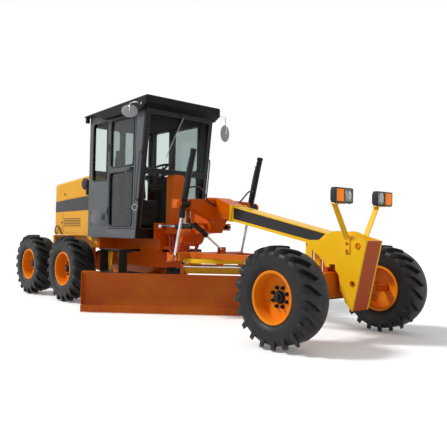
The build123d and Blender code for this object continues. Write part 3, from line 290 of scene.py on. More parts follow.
def make_finishes(sizes):
    """Makes every finish once, from the panel's colours."""
    sprayed = (0.05, 0.36, 0.12)
    middle_x = at(-3.0, 0, 0).x
    FINISHES.update(
        yellow=enamel("YellowEnamel", sizes.yellow, "FAC828", "9C8A66"),
        hood=enamel("HoodEnamel", sizes.hood, "EDAE30", "9C8A66"),
        # The orange is a shaded copy of the yellow enamel: painted shade.
        orange=enamel("OrangeEnamel", sizes.orange, "D8761A", "8A6A48"),
        # The rims' deeper orange is partly the paint and partly painted shade.
        rim=enamel("RimEnamel", sizes.rim, "F09018", "9C7A50"),
        # The blade's deep orange is a shaded copy of the yellow enamel: painted shade.
        blade=enamel("BladeEnamel", sizes.blade, "CE6A0C", "9A6030", 0.06, 0.3, 0.15),
        # The gooseneck's arch, behind the beam, takes the orange as painted shade.
        beam=enamel("BeamEnamel", sizes.yellow, "FAC828", "9C8A66", *sprayed,
                    within("X", middle_x, 1.30), sizes.orange),
        # The rear frame under the cab takes the orange as painted shade.
        chassis=enamel("ChassisEnamel", sizes.hood, "EDAE30", "9C8A66", *sprayed,
                       within("X", middle_x, 1.45), sizes.orange),
        # The nose's front panel takes a deep orange, BE4C04, as painted shade.
        nose=enamel("NoseEnamel", sizes.yellow, "FAC828", "9C8A66", *sprayed,
                    within("Y", MIDDLE_Y, 0.1243), "BE4C04"),
        black=enamel("BlackEnamel", "0F1011", "1A1B1D", "4A443B", 0.06, 0.38, 0.18),
        roof=enamel("RoofEnamel", "0C0C0D", "161617", "2E2B27", 0.0, 0.5, 0.15),
        stripe=enamel("StripePaint", "171415", "231F20", "4A443B", 0.15, 0.3, 0.3),
        cab=enamel("CabEnamel", "53575B", "62666A", "6F6656", 0.04, 0.35, 0.25, cab_black, "0C0D0E"),
        grey=enamel("GreyEnamel", "53575B", "62666A", "6F6656", 0.04, 0.35, 0.25),
        silver=enamel("SilverEnamel", "9EA2A6", "B2B5B8", "8A867E", 0.15, 0.3, 0.4),
        tyre=tyre_rubber("TyreRubber", "101112", "1E1D1C", 0.42, 0.62),
        # Lug tops: a lighter rubber for road wear and as a painted highlight.
        tread=tyre_rubber("WornTread", "242526", "3A3835", 0.5, 0.75),
        seal=plain_rubber("SealRubber", "0C0D0D"),
        hose=plain_rubber("HoseRubber", "0E0E0E"),
        red_hose=plain_rubber("RedHose", "C23A12"),
        chrome=metal("ChromePlate", "D8DADC", "B9BCC0", 0.06, 0.16),
        zinc=metal("ZincPlate", "A9ABA8", "84857F", 0.3, 0.5),
        steel=metal("WornSteel", "8B8279", "5E5349", 0.35, 0.6),
        iron=metal("CastIron", "2A2A2C", "1C1C1E", 0.5, 0.7),
        plastic=moulded("BlackPlastic", "111213", "1E1F21"),
        liner=moulded("HeadLiner", "0A0A0B", "121213", 0.85, 0.04),
        glass=pane("CabGlass", "E6EDEB", 1.0, 0.0, 0.01, 1.15),
        door_glass=pane("DoorGlass", "A4B0AF", 0.97, 0.0, 0.01, 1.33),
        clear=pane("ClearLens", "F2F4F2", 0.9, 0.05, 0.02),
        # The amber lens glows as painted light; the lamp is not lit.
        amber=pane("AmberLens", "FA8E0C", 0.12, 0.1, 0.02, glow=0.25),
        mirror=metal("MirrorGlass", "C9CFD4", "B4BCC3", 0.02, 0.05),
        cloth=seat_cloth(),
    )


# ---------------------------------------------------------------- shaping helpers
def made_of(bm, before):
    """The vertices a step has added since the set before was taken."""
    return [v for v in bm.verts if v not in before]


def around(verts, kind):
    """The edges or faces that these vertices carry, in one order each run."""
    return list(dict.fromkeys(each for v in verts for each in getattr(v, f"link_{kind}")))


def push(bm, faces, way):
    """Extrudes faces along a vector."""
    pushed = bmesh.ops.extrude_face_region(bm, geom=faces)["geom"]
    bmesh.ops.translate(bm, vec=way, verts=[g for g in pushed if isinstance(g, bmesh.types.BMVert)])


def round_off(bm, geom, width, segments=2, affect="EDGES"):
    """Rounds edges, or the corners at vertices."""
    bmesh.ops.bevel(
        bm, geom=geom, offset=width, segments=segments, profile=0.5, affect=affect, material=-1,
        clamp_overlap=True,
    )


def add_box(bm, corner, opposite, round_edge=0.0):
    """A box between two opposite corners, with its edges rounded."""
    corner, opposite = Vector(corner), Vector(opposite)
    size = [abs(s) for s in opposite - corner]
    place = Matrix.Translation((corner + opposite) / 2) @ Matrix.Diagonal((*size, 1))
    got = bmesh.ops.create_cube(bm, size=1.0, matrix=place)
    if round_edge:
        round_off(bm, around(got["verts"], "edges"), round_edge)


def add_rod(bm, start, end, radius, steps=24, round_edge=0.0):
    """A round bar between two points."""
    start, end = Vector(start), Vector(end)
    way = end - start
    place = Matrix.Translation((start + end) / 2) @ way.to_track_quat("Z", "Y").to_matrix().to_4x4()
    got = bmesh.ops.create_cone(
        bm, cap_ends=True, segments=steps, radius1=radius, radius2=radius, depth=way.length, matrix=place,
    )
    if round_edge:
        rims = [e for e in around(got["verts"], "edges") if e.is_manifold and e.calc_face_angle(0) > 1.0]
        round_off(bm, rims, round_edge)


def add_turned(bm, profile, centre, axis, steps=64):
    """A turned shape: (radius, distance along the axis) spun about the axis, a ring if it never meets it."""
    verts = [bm.verts.new((radius, 0, along)) for radius, along in profile]
    ring = verts[:1] if profile[0][0] else []
    edges = [bm.edges.new(pair) for pair in zip(verts, verts[1:] + ring)]
    before = set(bm.verts) - set(verts)
    bmesh.ops.spin(
        bm, geom=verts + edges, cent=(0, 0, 0), axis=(0, 0, 1), angle=math.tau, steps=steps,
        use_merge=True, use_duplicate=False,
    )
    got = made_of(bm, before)
    place = Matrix.Translation(centre) @ Vector(axis).to_track_quat("Z", "X").to_matrix().to_4x4()
    bmesh.ops.transform(bm, matrix=place, verts=got)
    bmesh.ops.remove_doubles(bm, verts=got, dist=1e-5)


def add_plate(bm, corners, thickness, corner=0.0, edge=0.0):
    """A flat plate: an outline of corners, rounded by corner, pushed out by a thickness vector."""
    before = set(bm.verts)
    verts = [bm.verts.new(c) for c in corners]
    bm.faces.new(verts)
    if corner:
        round_off(bm, verts, corner, 5, "VERTICES")
    push(bm, around(made_of(bm, before), "faces"), thickness)
    got = made_of(bm, before)
    bmesh.ops.recalc_face_normals(bm, faces=around(got, "faces"))
    if edge:
        round_off(bm, around(got, "edges"), edge, 1)


def add_copies(bm, geom, centre, axis, count):
    """Copies of a shape evenly round an axis, with the first."""
    bmesh.ops.spin(
        bm, geom=geom, cent=centre, axis=axis, steps=count - 1, angle=math.tau * (count - 1) / count,
        use_duplicate=True,
    )


def add_pipe(bm, points, radius, closed=False):
    """A round rail or hose along a line of points, or a bead round a closed line."""
    curve = bpy.data.curves.new("line", "CURVE")
    curve.dimensions = "3D"
    curve.bevel_depth = radius
    curve.bevel_resolution = 4
    curve.use_fill_caps = True
    spline = curve.splines.new("POLY" if closed else "NURBS")
    spline.points.add(len(points) - 1)
    for point, co in zip(spline.points, points):
        point.co = (*co, 1)
    spline.use_cyclic_u = closed
    if not closed:
        spline.order_u = 3
        spline.use_endpoint_u = True
    holder = bpy.data.objects.new("line", curve)
    bpy.context.scene.collection.objects.link(holder)
    bpy.context.view_layer.update()
    mesh = bpy.data.meshes.new_from_object(
        holder.evaluated_get(bpy.context.evaluated_depsgraph_get())
    )
    bm.from_mesh(mesh)
    bpy.data.objects.remove(holder)
    bpy.data.curves.remove(curve)
    bpy.data.meshes.remove(mesh)


def add_bead(bm, corners, corner, radius):
    """A round bead along an outline whose corners are rounded."""
    loop = bmesh.new()
    verts = [loop.verts.new(c) for c in corners]
    loop.faces.new(verts)
    round_off(loop, verts, corner, 4, "VERTICES")
    loop.faces.ensure_lookup_table()
    add_pipe(bm, [v.co for v in loop.faces[0].verts], radius, closed=True)
    loop.free()


def add_hex_bolt(bm, head, out, radius=0.014, high=0.010):
    """A hexagon bolt head on its washer."""
    head, out = Vector(head), Vector(out).normalized()
    add_rod(bm, head - out * 0.002, head + out * 0.003, radius * 1.35, 24)
    add_rod(bm, head, head + out * (0.003 + high), radius, 6, radius * 0.12)


def new_object(name, bm):
    """An object in the scene, made from a bmesh."""
    mesh = bpy.data.meshes.new(name)
    bm.to_mesh(mesh)
    bm.free()
    obj = bpy.data.objects.new(name, mesh)
    bpy.context.scene.collection.objects.link(obj)
    return obj


def piece(name, bm, finish, body, replaces=None, slot=None, more=(), angle=35.0, weld=True):
    """Turns a bmesh into a finished piece that rides on a body and may stand for a CAD piece."""
    if weld:
        bmesh.ops.remove_doubles(bm, verts=bm.verts, dist=1e-6)
        bmesh.ops.recalc_face_normals(bm, faces=bm.faces)
    obj = new_object(name, bm)
    obj.data.shade_smooth()
    obj.data.set_sharp_from_angle(angle=math.radians(angle))
    for each in (finish, *more):
        obj.data.materials.append(FINISHES[each])
    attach(obj, body)
    slot or SLOTS[finish]
    if replaces:
        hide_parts(replaces)
    return obj


def bridge(obj, start, end):
    """Frees a hose from the body it rides on and bakes its place into its mesh; the start and end are not
    used.
    """
    obj.parent = None
    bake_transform(obj)
    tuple(start)
    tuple(end)


def dress(finish, *nodes):
    """Gives CAD pieces their finish."""
    for node in nodes:
        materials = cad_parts[node].data.materials
        materials.clear()
        materials.append(FINISHES[finish])


# ---------------------------------------------------------------- sizes a user may change
def paint(name, what, code):
    """A colour on the panel."""
    return bpy.props.StringProperty(name=name, description=f"{what}, as sRGB hex", default=code)


class GraderSizes(bpy.types.PropertyGroup):
    yellow: paint("Yellow", "The nose's and beam's enamel", "F8BE08")
    hood: paint("Hood", "The engine hood's enamel", "ECA610")
    # The orange is a shaded copy of the yellow paint: painted shade.
    orange: paint("Orange", "The chassis' enamel", "D05A02")
    # The blade's deep orange is painted shade on the yellow paint.
    blade: paint("Blade", "The blade's enamel", "C05404")
    # The rims' deeper orange is partly the paint and partly painted shade.
    rim: paint("Rims", "The wheel rims' enamel", "EC7C04")
    floor: paint("Floor", "The studio floor", "C8C8C8")
    lugs: bpy.props.IntProperty(
        name="Lugs", description="Tread bars on each side of a tyre", default=20, min=12, max=36,
    )
    studs: bpy.props.IntProperty(
        name="Wheel studs", description="Studs round a hub", default=8, min=5, max=12,
    )
    stud_circle: bpy.props.FloatProperty(
        name="Stud circle", description="Radius of the circle of studs", default=0.1, unit="LENGTH",
    )
    teeth: bpy.props.IntProperty(
        name="Circle teeth", description="Teeth inside the blade's turning circle", default=72, min=40,
    )
    key: bpy.props.FloatProperty(
        name="Key light", description="Strength of the main lamp", default=2.5, min=0.0,
    )
    fill: bpy.props.FloatProperty(
        name="Fill light", description="Strength of the even light all round", default=0.45, min=0.0,
    )


class GraderOperator:
    bl_options = {"REGISTER", "UNDO"}


# ---------------------------------------------------------------- wheels
LUG_STATIONS = (
    # across the tread, drag behind the middle, top radius, foot radius, half width
    (0.004, 0.000, 0.520, 0.470, 0.024), (0.050, 0.034, 0.520, 0.470, 0.026),
    (0.098, 0.070, 0.519, 0.468, 0.028), (0.145, 0.104, 0.516, 0.464, 0.031),
    (0.180, 0.128, 0.507, 0.452, 0.033), (0.1925, 0.140, 0.478, 0.434, 0.034),
    (0.1945, 0.146, 0.436, 0.420, 0.033),
)
LUG_TAPER = 0.78
LUG_FOOT_INSET = 0.004
LUG_CREST = 0.004
TREAD_FACE_R = 0.5
CASING = (
    # radius, half width: bead, sidewall with its rim guard, shoulder, tread
    (0.253, 0.150), (0.276, 0.152), (0.284, 0.166), (0.300, 0.178), (0.310, 0.181), (0.316, 0.186),
    (0.330, 0.188), (0.360, 0.1905), (0.400, 0.191), (0.424, 0.189), (0.446, 0.181), (0.462, 0.166),
    (0.474, 0.130), (0.479, 0.070), (0.480, 0.0),
)
RIM_HALF_SECTION = (
    # radius, half width: barrel well, barrel, rolled lip, bead seat, inside well
    (0.229, 0.0), (0.231, 0.06), (0.235, 0.125), (0.240, 0.150), (0.245, 0.160), (0.256, 0.164),
    (0.267, 0.1635), (0.272, 0.158), (0.271, 0.153), (0.262, 0.1515), (0.254, 0.147), (0.251, 0.135),
    (0.249, 0.0),
)
DISC_SECTION = (
    (0.046, 0.028), (0.118, 0.028), (0.134, 0.024), (0.150, 0.020), (0.233, 0.020), (0.233, 0.008),
    (0.150, 0.008), (0.130, 0.012), (0.118, 0.012), (0.046, 0.012),
)
HUB_SECTION = (
    (0.0, 0.098), (0.030, 0.098), (0.037, 0.092), (0.038, 0.070), (0.052, 0.066), (0.060, 0.056),
    (0.062, 0.046), (0.068, 0.040), (0.068, 0.026), (0.0, 0.026),
)
WHEEL_STEPS = 72
VALVE_FOOT = (0.2, 0.02, 0.09)
VALVE_REACH = (0.004, 0.035, 0.002)
STUD_FOOT = 0.024
STUD_PARTS = (
    # height, radius, sides, rounding: the boss, the nut, the stud's end
    (0.010, 0.022, 24, 0.0), (0.030, 0.018, 6, 0.002), (0.044, 0.010, 16, 0.002),
)


def add_lug(bm, side, turn):
    """One slanted bar that wraps from the middle of the tread over the shoulder."""
    before = set(bm.verts)
    got = bmesh.ops.create_cube(bm, size=1.0)
    lengthwise = [e for e in around(got["verts"], "edges")
                  if abs(e.verts[0].co.y - e.verts[1].co.y) > 0.5]
    bmesh.ops.subdivide_edges(bm, edges=lengthwise, cuts=len(LUG_STATIONS) - 2, use_grid_fill=True)
    tops = []
    for vert in made_of(bm, before):
        step = round((vert.co.y + 0.5) * (len(LUG_STATIONS) - 1))
        across, drag, top, foot, width = LUG_STATIONS[step]
        high = vert.co.z > 0
        radius, taper, inset = (top, LUG_TAPER, 0.0) if high else (foot, 1.0, LUG_FOOT_INSET)
        angle = turn + (math.copysign(width * taper, vert.co.x) - drag) / TREAD_FACE_R
        vert.co = (radius * math.sin(angle), side * (across - inset), radius * math.cos(angle))
        if high:
            tops.append(vert)
    known = set(tops)
    crests = [e for e in around(tops, "edges") if known.issuperset(e.verts) and e.calc_face_angle(0) > 0.6]
    round_off(bm, crests, LUG_CREST, 1)
    return made_of(bm, before)


def both_halves(section, first=0):
    """A half section and its mirror image, without the middle points that they share."""
    return section + tuple((r, -y) for r, y in reversed(section[first:-1]))


class GRADER_OT_tyres(GraderOperator, bpy.types.Operator):
    """Six lugged tyres: a casing with slanted bars that meet in the middle of the tread"""
    bl_idname = "grader.tyres"
    bl_label = "Tyres"

    def execute(self, context):
        lugs = context.scene.grader.lugs
        for name in WHEELS:
            bm = bmesh.new()
            for side, turn in ((1, 0.0), (-1, math.pi / lugs)):
                verts = add_lug(bm, side, turn)
                add_copies(bm, verts + around(verts, "faces"), (0, 0, 0), (0, 1, 0), lugs)
            # The lug tops take the lighter rubber, for road wear and as a painted highlight.
            for face in bm.faces:
                on_top = all(math.hypot(v.co.x, v.co.z) > TREAD_FACE_R for v in face.verts)
                face.material_index = int(on_top)
            bmesh.ops.translate(bm, vec=HUBS[name], verts=bm.verts)
            add_turned(bm, both_halves(CASING), HUBS[name], (0, 1, 0), WHEEL_STEPS)
            piece(f"lugged_tyre_{name}", bm, "tyre", f"wheel_{name}", f"tyre_{name}",
                  more=("tread",), angle=40)
        return {"FINISHED"}


class GRADER_OT_rims(GraderOperator, bpy.types.Operator):
    """Six deep-dished rims with rolled lips, each with its hub cap and studs"""
    bl_idname = "grader.rims"
    bl_label = "Rims and hubs"

    def execute(self, context):
        sizes = context.scene.grader
        for name in WHEELS:
            out = 1 if name.endswith("left") else -1
            way = Vector((0, out, 0))
            bm = bmesh.new()
            add_turned(bm, both_halves(RIM_HALF_SECTION, 1), HUBS[name], way, WHEEL_STEPS)
            add_turned(bm, DISC_SECTION, HUBS[name], way, WHEEL_STEPS)
            outward = Vector((1, out, 1))
            valve = HUBS[name] + outward * Vector(VALVE_FOOT)
            add_rod(bm, valve, valve + outward * Vector(VALVE_REACH), 0.005, 12)
            piece(f"dished_rim_{name}", bm, "rim", f"wheel_{name}", f"rim_{name}")
            bm = bmesh.new()
            add_turned(bm, HUB_SECTION, HUBS[name], way, 48)
            for i in range(sizes.studs):
                angle = math.tau * (i + 0.5) / sizes.studs
                spoke = Vector((math.sin(angle), 0, math.cos(angle))) * sizes.stud_circle
                foot = HUBS[name] + spoke + way * STUD_FOOT
                for high, radius, steps, rounding in STUD_PARTS:
                    add_rod(bm, foot, foot + way * high, radius, steps, rounding)
            piece(f"hub_and_studs_{name}", bm, "black", f"wheel_{name}", slot="cast_metal")
        return {"FINISHED"}


# ---------------------------------------------------------------- front frame
PAINT_GAP = 0.0002
BEAM_TOP = ((0.06, 1.141), (-1.67, 1.507))
BEAM_LOW = ((-0.4, 1.064), (-1.85, 1.344))
STRIPE_CORNERS = (
    # how far forward, the edge of the beam, how far above that edge
    (-1.62, BEAM_LOW, 0.034), (-1.62, BEAM_TOP, -0.016), (-0.10, BEAM_TOP, -0.014), (-0.22, BEAM_LOW, 0.040),
)
NOSE_BUSHES = ((0.354, 1.04), (0.29, 0.64))
BUSH_PROFILE = ((0.022, -0.001), (0.033, -0.001), (0.033, 0.005), (0.031, 0.007), (0.022, 0.007))
LAMP_ARM_BOLTS = ((0.222, 0.985), (0.222, 1.065))
LAMP_ARM_THICK = 0.014


def height_on(edge, x):
    """Height of an edge of the beam, between the two points that it runs through."""
    (x0, z0), (x1, z1) = edge
    return z0 + (z1 - z0) * (x - x0) / (x1 - x0)


class GRADER_OT_front_frame(GraderOperator, bpy.types.Operator):
    """The beam's dark stripes, bolts and bushes"""
    bl_idname = "grader.front_frame"
    bl_label = "Front frame trim"

    def execute(self, context):
        stripes, bolts = bmesh.new(), bmesh.new()
        for side in BOTH:
            out = Vector((0, side, 0))
            beam, nose = on_side(side, BEAM_HALF), on_side(side, PLATE_OUT)
            corners = [beam(x, PAINT_GAP, height_on(edge, x) + up) for x, edge, up in STRIPE_CORNERS]
            add_plate(stripes, corners, out * 0.0015)
            for x, z in NOSE_BUSHES:
                add_turned(bolts, BUSH_PROFILE, nose(x, 0.0, z), out, 40)
            for x, z in LAMP_ARM_BOLTS:
                add_hex_bolt(bolts, nose(x, LAMP_ARM_THICK, z), out, 0.013)
        piece("beam_stripes", stripes, "stripe", "front_frame")
        piece("nose_bolts", bolts, "orange", "front_frame")
        return {"FINISHED"}


LAMP_WIDE = 0.3
LAMP_WALL = 0.03
LAMP_ROUND = 0.012
LAMP_HALVES = (
    # inboard of the lamp's outer end from, to, and how many ribs: the amber half, the clear half
    (0.006, 0.148, 5), (0.161, 0.288, 9),
)
REFLECTOR_EDGES = (0.161, 0.286)
REFLECTOR = ((0.0, -0.002), (0.030, 0.0), (0.050, 0.005), (0.056, 0.008), (0.058, 0.006), (0.03, -0.003),
             (0.0, -0.004))


class GRADER_OT_lamps(GraderOperator, bpy.types.Operator):
    """Two front lamps: black housings, each with an amber and a clear half"""
    bl_idname = "grader.lamps"
    bl_label = "Front lamps"

    def execute(self, context):
        low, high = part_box("front_lamps")
        face = high.x
        housing, amber, clear, bright = (bmesh.new() for _ in range(4))
        for side in BOTH:
            outer = high.y if side > 0 else low.y
            y_low, y_high = sorted((outer, outer - side * LAMP_WIDE))
            middle = (y_low + y_high) / 2
            add_box(housing, (low.x + LAMP_WALL, y_low, low.z), (face, y_high, high.z), LAMP_ROUND)
            add_box(housing, (low.x, y_low + LAMP_WALL, low.z + 0.02),
                    (low.x + 0.04, y_high - LAMP_WALL, high.z - 0.02), LAMP_ROUND)
            facing = (f for f in housing.faces if f.calc_center_median().x > face - 1e-4
                      and y_low < f.calc_center_median().y < y_high)
            front = max(facing, key=lambda f: f.calc_area())
            bmesh.ops.inset_region(housing, faces=[front], thickness=0.004, depth=0.0)
            push(housing, [front], (-LAMP_WALL, 0, 0))
            bmesh.ops.delete(housing, geom=[front], context="FACES")
            back = face - LAMP_WALL
            add_box(housing, (back, middle - 0.006, low.z + 0.01),
                    (face - 0.001, middle + 0.006, high.z - 0.01), 0.002)
            for y in (y_low + LAMP_WALL, y_high - LAMP_WALL):
                add_rod(housing, (back, y, low.z - 0.006), (back, y, low.z + 0.01), 0.008, 16)
            for lens, (first, last, ribs) in zip((amber, clear), LAMP_HALVES):
                near, far = sorted((outer - side * first, outer - side * last))
                add_box(lens, (face - 0.016, near, low.z + 0.012), (face - 0.004, far, high.z - 0.012), 0.003)
                for i in range(ribs):
                    y = near + (far - near) * (i + 0.5) / ribs
                    add_rod(lens, (face - 0.0045, y, low.z + 0.018), (face - 0.0045, y, high.z - 0.018),
                            0.0028, 10)
            seat = Vector((face - 0.026, outer - side * sum(REFLECTOR_EDGES) / 2, (low.z + high.z) / 2))
            add_turned(bright, REFLECTOR, seat, (1, 0, 0), 40)
            add_rod(bright, seat, seat + Vector((0.008, 0, 0)), 0.010, 16)
        piece("lamp_housings", housing, "plastic", "front_frame", "front_lamps")
        piece("amber_lenses", amber, "amber", "front_frame", "lamp_lenses")
        piece("clear_lenses", clear, "clear", "front_frame", "lamp_lenses")
        piece("lamp_reflectors", bright, "chrome", "front_frame")
        return {"FINISHED"}


# ---------------------------------------------------------------- cab
DOOR_PANES = ((-3.96, -3.30, 2.13, 2.86), (-3.975, -3.32, 1.215, 2.045))
DOOR_GAP = (-4.010, -3.255, 1.180, 2.895)
SIDE_PANE = (-4.53, -4.08, 1.945, 2.88)
REAR_PANES = ((0.04, 0.55, 2.13, 2.86), (0.04, 0.55, 1.40, 2.06))
REAR_RUBBER_X = -4.657
FRONT_PANES = ((-0.56, 0.56, 2.07, 2.87), (-0.56, 0.56, 1.18, 2.0))
PANE_CORNER = 0.048
PANE_RUBBER_R = 0.009
SIDE_RUBBER_R = 0.011
DOOR_RUBBER_R = 0.012
DOOR_GAP_R = 0.004
RAIL_ENDS = (1.6, 2.3)
RAIL_OUT = 0.668
SIDE_LAMP = (-3.162, 0.67, 1.49)
SIDE_LAMP_BACK = ((0, -0.016), (0.030, -0.016), (0.040, -0.006), (0.042, 0.008), (0, 0.008))
SIDE_LAMP_RING = ((0.037, 0.016), (0.043, 0.014), (0.044, 0.006), (0.042, 0.0), (0.037, 0.006))
SIDE_LAMP_LENS = ((0, 0.016), (0.02, 0.0155), (0.037, 0.012), (0.037, 0.008), (0, 0.008))
LATCH = ((0, 0.016), (0.012, 0.016), (0.016, 0.012), (0.022, 0.008), (0.024, 0.0), (0, 0))
WIPER_ARM = ((0.04, 2.90), (-0.15, 2.43))
WIPER_BLADE = ((-0.085, 2.60), (-0.215, 2.26))
POST_STRIP = (
    # forward of the sloping front, height
    (-0.012, 1.06), (0.0, 1.06), (0.0, 2.925), (-0.05, 2.925),
)
AIR_CAP_AT = (-4.93, 0.555, 1.93)
AIR_CAP = ((0, 0.023), (0.045, 0.023), (0.080, 0.018), (0.098, 0.006), (0.102, -0.010), (0.098, -0.023),
           (0.06, -0.023), (0.045, -0.018), (0, -0.018))


class GRADER_OT_cab_trim(GraderOperator, bpy.types.Operator):
    """Window rubbers, rails, lamps, wiper, hatches and black front posts of the cab"""
    bl_idname = "grader.cab_trim"
    bl_label = "Cab trim"

    def execute(self, context):
        self.window_rubbers()
        for name, side in SIDES:
            self.door(name, side)
        self.grab_rails()
        self.fittings()
        self.post_strips()
        return {"FINISHED"}

    def window_rubbers(self):
        bm = bmesh.new()
        for side in BOTH:
            skin = on_side(side, CAB_HALF)
            add_bead(bm, [skin(x, 0.002, z) for x, z in four(*SIDE_PANE)], PANE_CORNER, SIDE_RUBBER_R)
            for edges in REAR_PANES:
                corners = [at(REAR_RUBBER_X, side * y, z) for y, z in four(*edges)]
                add_bead(bm, corners, PANE_CORNER, PANE_RUBBER_R)
        for edges in FRONT_PANES:
            corners = [at(cab_front(z, 0.003), y, z) for y, z in four(*edges)]
            add_bead(bm, corners, PANE_CORNER, PANE_RUBBER_R)
        piece("window_rubbers", bm, "seal", "rear_frame", weld=False)

    def door(self, name, side):
        skin = on_side(side, CAB_HALF)
        bm = bmesh.new()
        for edges in DOOR_PANES:
            add_bead(bm, [skin(x, 0.002, z) for x, z in four(*edges)], PANE_CORNER, DOOR_RUBBER_R)
        add_bead(bm, [skin(x, -0.001, z) for x, z in four(*DOOR_GAP)], 0.02, DOOR_GAP_R)
        piece(f"door_rubbers_{name}", bm, "seal", f"door_{name}", weld=False)
        bm = bmesh.new()
        add_box(bm, skin(-3.46, 0.002, 2.065), skin(-3.30, 0.016, 2.092), 0.004)
        add_rod(bm, skin(-3.32, 0.0, 2.079), skin(-3.32, 0.045, 2.079), 0.014, 20, 0.003)
        for z in (1.45, 2.45):
            add_rod(bm, skin(-4.017, 0.006, z - 0.06), skin(-4.017, 0.006, z + 0.06), 0.010, 16, 0.002)
        piece(f"door_handle_and_hinges_{name}", bm, "plastic", f"door_{name}")

    def grab_rails(self):
        rails, feet = bmesh.new(), bmesh.new()
        for side in BOTH:
            low, high = (at(cab_front(z, -0.026), side * RAIL_OUT, z) for z in RAIL_ENDS)
            wall = Vector((0, -side * (RAIL_OUT - CAB_HALF), 0))
            near_end = (high - low) * 0.03
            add_pipe(rails, [low + wall, low + wall / 4, low + near_end, high - near_end, high + wall / 4,
                             high + wall], 0.011)
            for end in (low, high):
                add_rod(feet, end + wall, end + wall * 0.75, 0.024, 24, 0.003)
            half = Vector((0.018, 0.006, 0.05))
            add_box(feet, high + wall - half, high + wall + half, 0.004)
        piece("grab_rails", rails, "grey", "rear_frame", "body_fittings", weld=False)
        piece("rail_feet", feet, "plastic", "rear_frame")

    def fittings(self):
        hatches, bm, lenses, rings = (bmesh.new() for _ in range(4))
        for side in BOTH:
            out = Vector((0, side, 0))
            here, skin = on_side(side), on_side(side, CAB_HALF)
            add_box(hatches, skin(-4.55, -0.002, 1.22), skin(-4.06, 0.004, 1.47), 0.002)
            add_box(bm, skin(-4.215, 0.002, 1.31), skin(-4.105, 0.009, 1.41), 0.003)
            add_turned(bm, LATCH, skin(-4.16, 0.006, 1.36), out, 32)
            for z in (1.25, 1.44):
                add_rod(bm, skin(-4.552, 0.004, z - 0.02), skin(-4.552, 0.004, z + 0.02), 0.006, 12)
            lamp, way = here(*SIDE_LAMP), (0.8, side * 0.6, 0)
            for target, profile in ((bm, SIDE_LAMP_BACK), (rings, SIDE_LAMP_RING), (lenses, SIDE_LAMP_LENS)):
                add_turned(target, profile, lamp, way, 40)
            add_rod(bm, skin(-3.174, 0.0, 1.49), skin(-3.174, 0.04, 1.49), 0.013, 20)
            add_box(bm, here(-4.704, 0.626, 2.915), here(-4.66, 0.690, 3.006), 0.008)
            add_box(lenses, here(-4.712, 0.634, 2.925), here(-4.70, 0.682, 2.996), 0.003)
            add_turned(bm, AIR_CAP, here(*AIR_CAP_AT), out, 56)
            add_box(bm, here(-4.89, HOOD_HALF, 1.74), here(-4.84, AIR_CAP_AT[1], 1.93), 0.006)
        piece("hatches", hatches, "grey", "rear_frame")
        piece("side_lamp_rings", rings, "chrome", "rear_frame", "body_fittings")
        pivot, elbow = (at(cab_front(z, 0.02), y, z) for y, z in WIPER_ARM)
        along = Vector((0.02, 0, 0))
        add_rod(bm, pivot - along, pivot + along, 0.018, 20, 0.003)
        add_box(bm, at(-3.02, -0.03, 2.89), at(-2.958, 0.11, 2.935), 0.006)
        piece("cab_fittings", bm, "plastic", "rear_frame", "body_fittings")
        bm = bmesh.new()
        add_rod(bm, pivot, elbow, 0.006, 12)
        add_rod(bm, *(at(cab_front(z, 0.014), y, z) for y, z in WIPER_BLADE), 0.007, 8)
        piece("wiper_arm", bm, "zinc", "rear_frame")
        piece("small_lenses", lenses, "clear", "rear_frame")

    def post_strips(self):
        bm = bmesh.new()
        for side in BOTH:
            skin = on_side(side, CAB_HALF)
            post = [skin(cab_front(z, x), -0.002, z) for x, z in POST_STRIP]
            add_plate(bm, post, (0, side * 0.008, 0), edge=0.002)
        piece("post_strips", bm, "black", "rear_frame")


MIRROR_ARM_Z = 2.99
MIRROR_ARM_R = 0.0085
MIRROR_FOOT_OUT = 0.70
MIRRORS = (
    # middle, the way its back faces, half width, half height, where its arm meets the roof
    ((-2.925, 0.85, 2.735), (1, 0), 0.092, 0.135, -2.912),
    ((-3.145, -0.805, 2.880), (0.8, -0.6), 0.118, 0.092, -3.008),
)
MIRROR_HEAD = ((0, 0.013), (0.55, 0.011), (0.88, 0.004), (1.0, -0.004), (1.0, -0.011), (0.96, -0.013),
               (0.93, -0.009), (0, -0.009))
MIRROR_FACE = ((0, -0.0095), (0.925, -0.0095), (0.925, -0.0115), (0, -0.0115))


